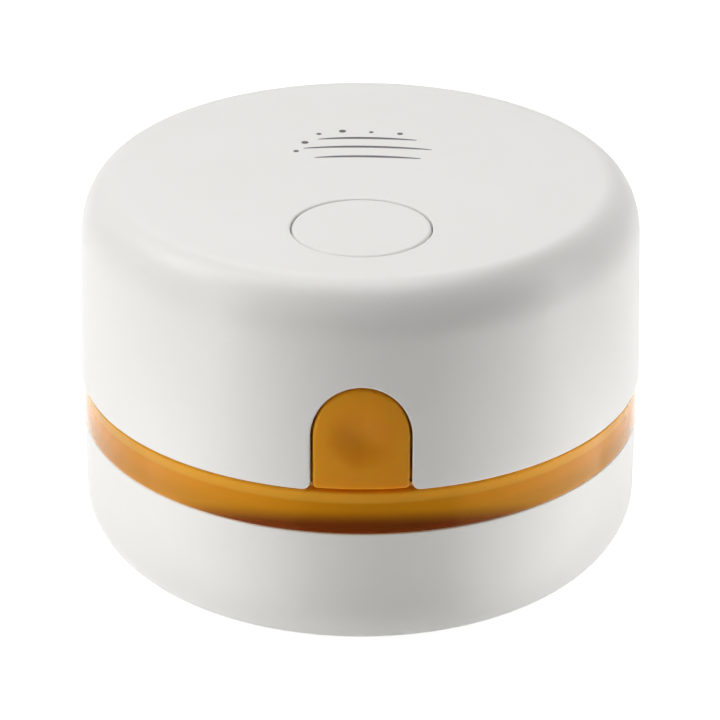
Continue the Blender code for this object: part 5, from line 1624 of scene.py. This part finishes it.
def flat_ring(outer, inner, low, high, edge):
    """A closed band between two flat-fronted outlines, its section a rounded rectangle."""
    corners = [(0, low, edge), (1, low, edge), (1, high, edge), (0, high, edge)]
    width = np.linalg.norm(outer - inner, axis=1).mean()
    section = profile([(x * width, z, r) for x, z, r in corners], 4)
    section = np.concatenate([section, section[:1]])
    outer = np.concatenate([outer, outer[:1]])
    inner = np.concatenate([inner, inner[:1]])
    flat = inner + (outer - inner) * (section[:, 0] / width)[:, None, None]
    height = np.broadcast_to(section[:, 1][:, None, None], flat.shape[:2] + (1,))
    return np.concatenate([flat, height], axis=-1)


class VACUUM_OT_filter(bpy.types.Operator):
    """Makes the filter's grille frame, its folded paper and its seal"""

    bl_idname = "vacuum.filter"
    bl_label = "Filter"

    def execute(self, context):
        low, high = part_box("filter_frame")
        outer, wall = high.x, 0.0018
        material = shared("grey", plain_plastic, "grey_moulded_abs", *GREY)
        rim = flat_ring(
            flat_fronted(outer, FILTER_FLAT),
            flat_fronted(outer - wall, FILTER_FLAT - wall),
            low.z,
            high.z,
            0.0003,
        )
        piece = piece_from("filter_grille", [rim], material, None, None)
        combine(piece, "UNION", grille_bars(outer - wall / 2, FILTER_FLAT - wall / 2, low.z))
        finish_piece(piece, "filter", "grey_plastic", "filter_frame")
        low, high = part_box("filter_media")
        paper = folded_paper(outer - wall - GAP, FILTER_FLAT - wall - GAP, low.z, high.z)
        material = shared("paper", filter_paper)
        piece_from("pleated_paper", [paper], material, "filter", "filter_paper", "filter_media")
        low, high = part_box("filter_gasket")
        seal = flat_ring(
            flat_fronted(high.x, FILTER_FLAT - GAP),
            flat_fronted(high.x - 0.0022, FILTER_FLAT - GAP - 0.0022),
            low.z,
            high.z,
            0.0003,
        )
        material = shared("silicone", moulded_silicone)
        piece_from("seal", [seal], material, "filter", "silicone", "filter_gasket")
        return {"FINISHED"}


def grille_bars(reach, flat_reach, low):
    """Four bars across the frame and a ring that ties them."""
    half, height = 0.0006, 0.0012
    tools = []
    for number in range(4):
        angle = math.pi * (number + 0.5) / 4
        front = min(reach, flat_reach / math.sin(angle))
        bar = block((-front, -half, low), (reach, half, low + height))
        tools.append(tool(moved(bar, Matrix.Rotation(angle, 4, "Z"))))
    middle = 0.01743
    line = profile(
        [
            (middle - half, low, 0.0002),
            (middle + half, low, 0.0002),
            (middle + half, low + height, 0.0002),
            (middle - half, low + height, 0.0002),
        ],
        3,
    )
    return tools + [tool(turned(line, 128))]


def folded_paper(radius, flat, low, high):
    """A sheet folded along Y: its height is a rounded zigzag of x, its ends follow the frame."""
    folds, steps = 22, 8
    edge = radius - 0.0003
    x = np.linspace(-edge, edge, folds * steps * 2 + 1)
    wave = np.arcsin(0.96 * np.sin(x / edge * folds * math.pi)) / math.asin(0.96)
    thick = 0.0003
    middle = (low + high) / 2 + wave * (high - low - thick) / 2
    back = np.sqrt(radius**2 - x**2)
    front = -np.minimum(back, flat)
    share = np.linspace(0, 1, 13)
    rows = [(s, 0.5) for s in share] + [(s, -0.5) for s in share[::-1]] + [(0.0, 0.5)]
    ring = np.array(rows)
    y = front + (back - front) * ring[:, :1]
    z = middle + thick * ring[:, 1:]
    grid = np.stack([np.broadcast_to(x, y.shape), y, z], axis=-1)
    ends = [grid[:, place].mean(axis=0) + 0 * grid[:, place] for place in (0, -1)]
    return np.concatenate([ends[0][:, None], grid, ends[1][:, None]], axis=1)


# ---------------------------------------------------------------- charging socket and print


class VACUUM_OT_socket(bpy.types.Operator):
    """Makes the drawn metal shell of the charging socket, with its tongue inside"""

    bl_idname = "vacuum.socket"
    bl_label = "Charging Socket"

    def execute(self, context):
        low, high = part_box("usb_socket")
        centre = (low + high) / 2
        width, height = high.x - low.x, high.z - low.z
        place = Matrix(((1, 0, 0, 0), (0, 0, 1, 0), (0, 1, 0, centre.z), (0, 0, 0, 1)))
        outer = slot_ring(width, height, 20)
        inner = slot_ring(width - 0.0006, height - 0.0006, 20)
        edge = 0.00008
        rows = [
            (0 * outer, low.y),
            (outer, low.y),
            (outer, high.y - edge),
            (outer * 0.5 + inner * 0.5 + (outer - inner) * 0.35, high.y - edge / 4),
            (outer * 0.5 + inner * 0.5 - (outer - inner) * 0.35, high.y - edge / 4),
            (inner, high.y - edge),
            (inner, low.y + 0.0012),
            (0 * inner, low.y + 0.0012),
        ]
        loops = [np.concatenate([ring, ring[:1]]) for ring, _ in rows]
        depths = [depth for _, depth in rows]
        shell = np.stack(
            [
                np.column_stack([loop, np.full(len(loop), depth)])
                for loop, depth in zip(loops, depths)
            ]
        )
        tongue = block(
            (-0.0031, -0.00035, low.y + 0.0009), (0.0031, 0.00035, high.y - 0.0012), 0.0001
        )
        material = shared("nickel", metal, "nickel_plate", *NICKEL)
        dark = shared("black", plain_plastic, "black_moulded_nylon", *BLACK)
        piece_from(
            "socket_shell", [moved(shell, place)], material, "power_unit", "nickel", "usb_socket"
        )
        piece_from("socket_tongue", [moved(tongue, place)], dark, "power_unit", "black_nylon")
        return {"FINISHED"}


def stroke(start, bend, end, widths, steps=28):
    """A brush stroke: a bent centre line, as wide as a sine from end to end."""
    start, bend, end = (np.array(point) for point in (start, bend, end))
    share = np.linspace(0, 1, steps + 1)[:, None]
    line = start * (1 - share) ** 2 + bend * 2 * share * (1 - share) + end * share**2
    way = np.gradient(line, axis=0)
    way /= np.linalg.norm(way, axis=1)[:, None]
    side = np.stack([-way[:, 1], way[:, 0]], axis=-1)
    low, high = widths
    half = (low + (high - low) * np.sin(math.pi * share) ** 0.6) / 2
    return line, side * half


def stroke_grid(*shape):
    """The stroke as a thin closed film of ink on the top face."""
    line, half = stroke(*shape)
    low, high = SHELL_HIGH.z - 0.00002, SHELL_HIGH.z + 0.00001
    rows = [(-1, low), (1, low), (1, high), (-1, high), (-1, low)]
    grid = np.stack(
        [np.column_stack([line + half * side, np.full(len(line), z)]) for side, z in rows]
    )
    ends = [grid[:, place].mean(axis=0) + 0 * grid[:, place] for place in (0, -1)]
    return np.concatenate([ends[0][:, None], grid, ends[1][:, None]], axis=1)


class VACUUM_OT_top_print(bpy.types.Operator):
    """Prints a plain airflow sign on the top face: dust specks drawn along three streams"""

    bl_idname = "vacuum.top_print"
    bl_label = "Top Print"

    def execute(self, context):
        grids = []
        streams = (
            (0.0062, 0.0085, 0.0012),
            (0.0098, 0.0102, 0.0016),
            (0.0134, 0.0080, 0.0012),
        )
        for low, reach, rise in streams:
            start = (-reach + 0.0015, low)
            bend = (0, low + rise)
            end = (reach + 0.0005, low - rise * 0.3)
            grids.append(stroke_grid(start, bend, end, (0.00018, 0.00075)))
        specks = (
            (-0.0098, 0.0087, 0.00042),
            (-0.0085, 0.0121, 0.00055),
            (-0.0064, 0.0155, 0.00040),
            (-0.0028, 0.0166, 0.00055),
            (0.0016, 0.0162, 0.00036),
            (0.0060, 0.0156, 0.00046),
        )
        for x, y, radius in specks:
            grids.append(peg(radius, SHELL_HIGH.z - 0.00002, SHELL_HIGH.z + 0.00001, (x, y), 32))
        material = shared("ink", pad_ink, context.scene.vacuum_finish.print_colour)
        piece = piece_from("airflow_print", grids, material, None, None)
        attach(piece, "power_unit")
        return {"FINISHED"}


# ---------------------------------------------------------------- inner pieces


def leaf_grid():
    """The latch's leaf: a flat rectangle carried along a path in y and z that runs down from the
    clamp, joggles forward, drops to the nose and turns out. Each section stands square to the
    path, and both ends are closed to their middle."""
    clamp = LEAF_HIGH.y - LEAF_THICKNESS / 2
    nose = LEAF_LOW.z + LEAF_THICKNESS / 2
    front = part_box("release_button")[1].y + GAP + LEAF_THICKNESS / 2
    corners = np.array(
        [
            (clamp, LEAF_HIGH.z),
            (clamp, LEAF_BEND_Z),
            (front, LEAF_FOOT_Z),
            (front, nose),
            (LEAF_LOW.y, nose),
        ]
    )
    run = np.concatenate([[0], np.cumsum(np.linalg.norm(np.diff(corners, axis=0), axis=1))])
    places = np.linspace(0, run[-1], 101)
    line = np.stack([np.interp(places, run, corners[:, axis]) for axis in (0, 1)], axis=-1)
    way = np.gradient(line, axis=0)
    way /= np.linalg.norm(way, axis=1)[:, None]
    across = np.stack([-way[:, 1], way[:, 0]], axis=-1)
    shares = np.ones(len(line) + 2)
    shares[[0, -1]] = 0
    line, across = (np.concatenate([rows[:1], rows, rows[-1:]]) for rows in (line, across))
    side = np.array([1, 1, -1, -1, 1]) * LEAF_HIGH.x
    depth = np.array([1, -1, -1, 1, 1]) * LEAF_THICKNESS / 2
    flat = line[:, None] + across[:, None] * (shares[:, None] * depth)[..., None]
    return np.concatenate([(shares[:, None] * side)[..., None], flat], axis=-1)


class VACUUM_OT_latch_leaf(bpy.types.Operator):
    """Makes the latch's spring leaf, which runs down from its clamp behind the tab, with a hole for
    its screw
    """

    bl_idname = "vacuum.latch_leaf"
    bl_label = "Latch Leaf"

    def execute(self, context):
        steel = shared("strip", metal, "rolled_spring_steel", "#B9BABC", 0.25, 0.4)
        leaf = piece_from("latch_leaf", [leaf_grid()], steel, None, None)
        screw_low, screw_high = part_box("latch_screw")
        turn = Matrix.Rotation(math.pi / 2, 4, "X")
        turn.translation = (0, LEAF_HIGH.y + GAP, (screw_low.z + screw_high.z) / 2)
        hole = moved(peg(SHANK_RADIUS, 0, 2 * LEAF_THICKNESS + GAP, segments=32), turn)
        combine(leaf, "DIFFERENCE", [tool(hole)])
        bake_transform(leaf)
        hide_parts("latch_spring")
        return {"FINISHED"}


class VACUUM_OT_inner_finishes(bpy.types.Operator):
    """Gives the carried-over inner pieces their finishes"""

    bl_idname = "vacuum.inner_finishes"
    bl_label = "Inner Finishes"

    def execute(self, context):
        grey = shared("grey", plain_plastic, "grey_moulded_abs", *GREY)
        black = shared("black", plain_plastic, "black_moulded_nylon", *BLACK)
        zinc = shared("zinc", metal, "zinc_plated_steel", *ZINC)
        drawn = shared("drawn", metal, "drawn_steel", "#C2C2C4", 0.28, 0.5)
        nickel = shared("nickel", metal, "nickel_plate", *NICKEL)
        foam = shared("foam", closed_foam)
        film = shared("film", shrink_film)
        mask = shared("mask", solder_mask)
        red = shared("red", plain_plastic, "red_pvc_sleeve", "#B8232A", "#A01E24", 0.4)
        dark = shared("dark", plain_plastic, "black_pvc_sleeve", "#232325", "#1C1C1E", 0.4)
        finishes = {
            grey: ["fan_cover"],
            black: ["motor_end_cap", "push_switch", "switch_plunger", "impeller"],
            zinc: ["frame_screw_", "cover_screw_", "motor_screw_", "latch_screw"],
            drawn: ["motor_can", "motor_shaft"],
            nickel: ["battery_tab_"],
            foam: ["motor_pad"],
            film: ["battery_cell"],
            mask: ["charge_board"],
            red: ["motor_lead_red", "battery_lead_red"],
            dark: ["motor_lead_black", "battery_lead_black"],
        }
        for material, starts in finishes.items():
            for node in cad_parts:
                if node.startswith(tuple(starts)):
                    coated(node, material)
        return {"FINISHED"}


# ---------------------------------------------------------------- panel and registration


class VACUUM_PT_pieces(bpy.types.Panel):
    """Lists the pieces of the vacuum cleaner and the stage"""

    bl_label = "Mini Vacuum"
    bl_idname = "VACUUM_PT_pieces"
    bl_space_type = "VIEW_3D"
    bl_region_type = "UI"
    bl_category = "Mini Vacuum"

    def draw(self, context):
        for piece_operator in OPERATORS:
            self.layout.operator(piece_operator.bl_idname)


SETTINGS = {
    "vacuum_housing": HousingSettings,
    "vacuum_controls": ControlSettings,
    "vacuum_underside": UndersideSettings,
    "vacuum_finish": FinishSettings,
    "vacuum_stage": StageSettings,
}
OPERATORS = (
    VACUUM_OT_stage,
    VACUUM_OT_upper_housing,
    VACUUM_OT_lower_housing,
    VACUUM_OT_dust_cup,
    VACUUM_OT_controls,
    VACUUM_OT_brush_plate,
    VACUUM_OT_bristles,
    VACUUM_OT_feet,
    VACUUM_OT_base_screws,
    VACUUM_OT_chassis,
    VACUUM_OT_filter,
    VACUUM_OT_socket,
    VACUUM_OT_top_print,
    VACUUM_OT_latch_leaf,
    VACUUM_OT_inner_finishes,
)


def register():
    for kind in (*SETTINGS.values(), *OPERATORS, VACUUM_PT_pieces):
        bpy.utils.register_class(kind)
    for name, kind in SETTINGS.items():
        setattr(bpy.types.Scene, name, PointerProperty(type=kind))


def unregister():
    for name in SETTINGS:
        delattr(bpy.types.Scene, name)
    for kind in (VACUUM_PT_pieces, *reversed(OPERATORS), *reversed(SETTINGS.values())):
        bpy.utils.unregister_class(kind)


def main():
    register()
    bpy.ops.vacuum.stage()
    bpy.ops.vacuum.upper_housing()
    bpy.ops.vacuum.lower_housing()
    bpy.ops.vacuum.dust_cup()
    bpy.ops.vacuum.controls()
    bpy.ops.vacuum.brush_plate()
    bpy.ops.vacuum.bristles()
    bpy.ops.vacuum.feet()
    bpy.ops.vacuum.base_screws()
    bpy.ops.vacuum.chassis()
    bpy.ops.vacuum.filter()
    bpy.ops.vacuum.socket()
    bpy.ops.vacuum.top_print()
    bpy.ops.vacuum.latch_leaf()
    bpy.ops.vacuum.inner_finishes()


if __name__ == "__main__":
    main()
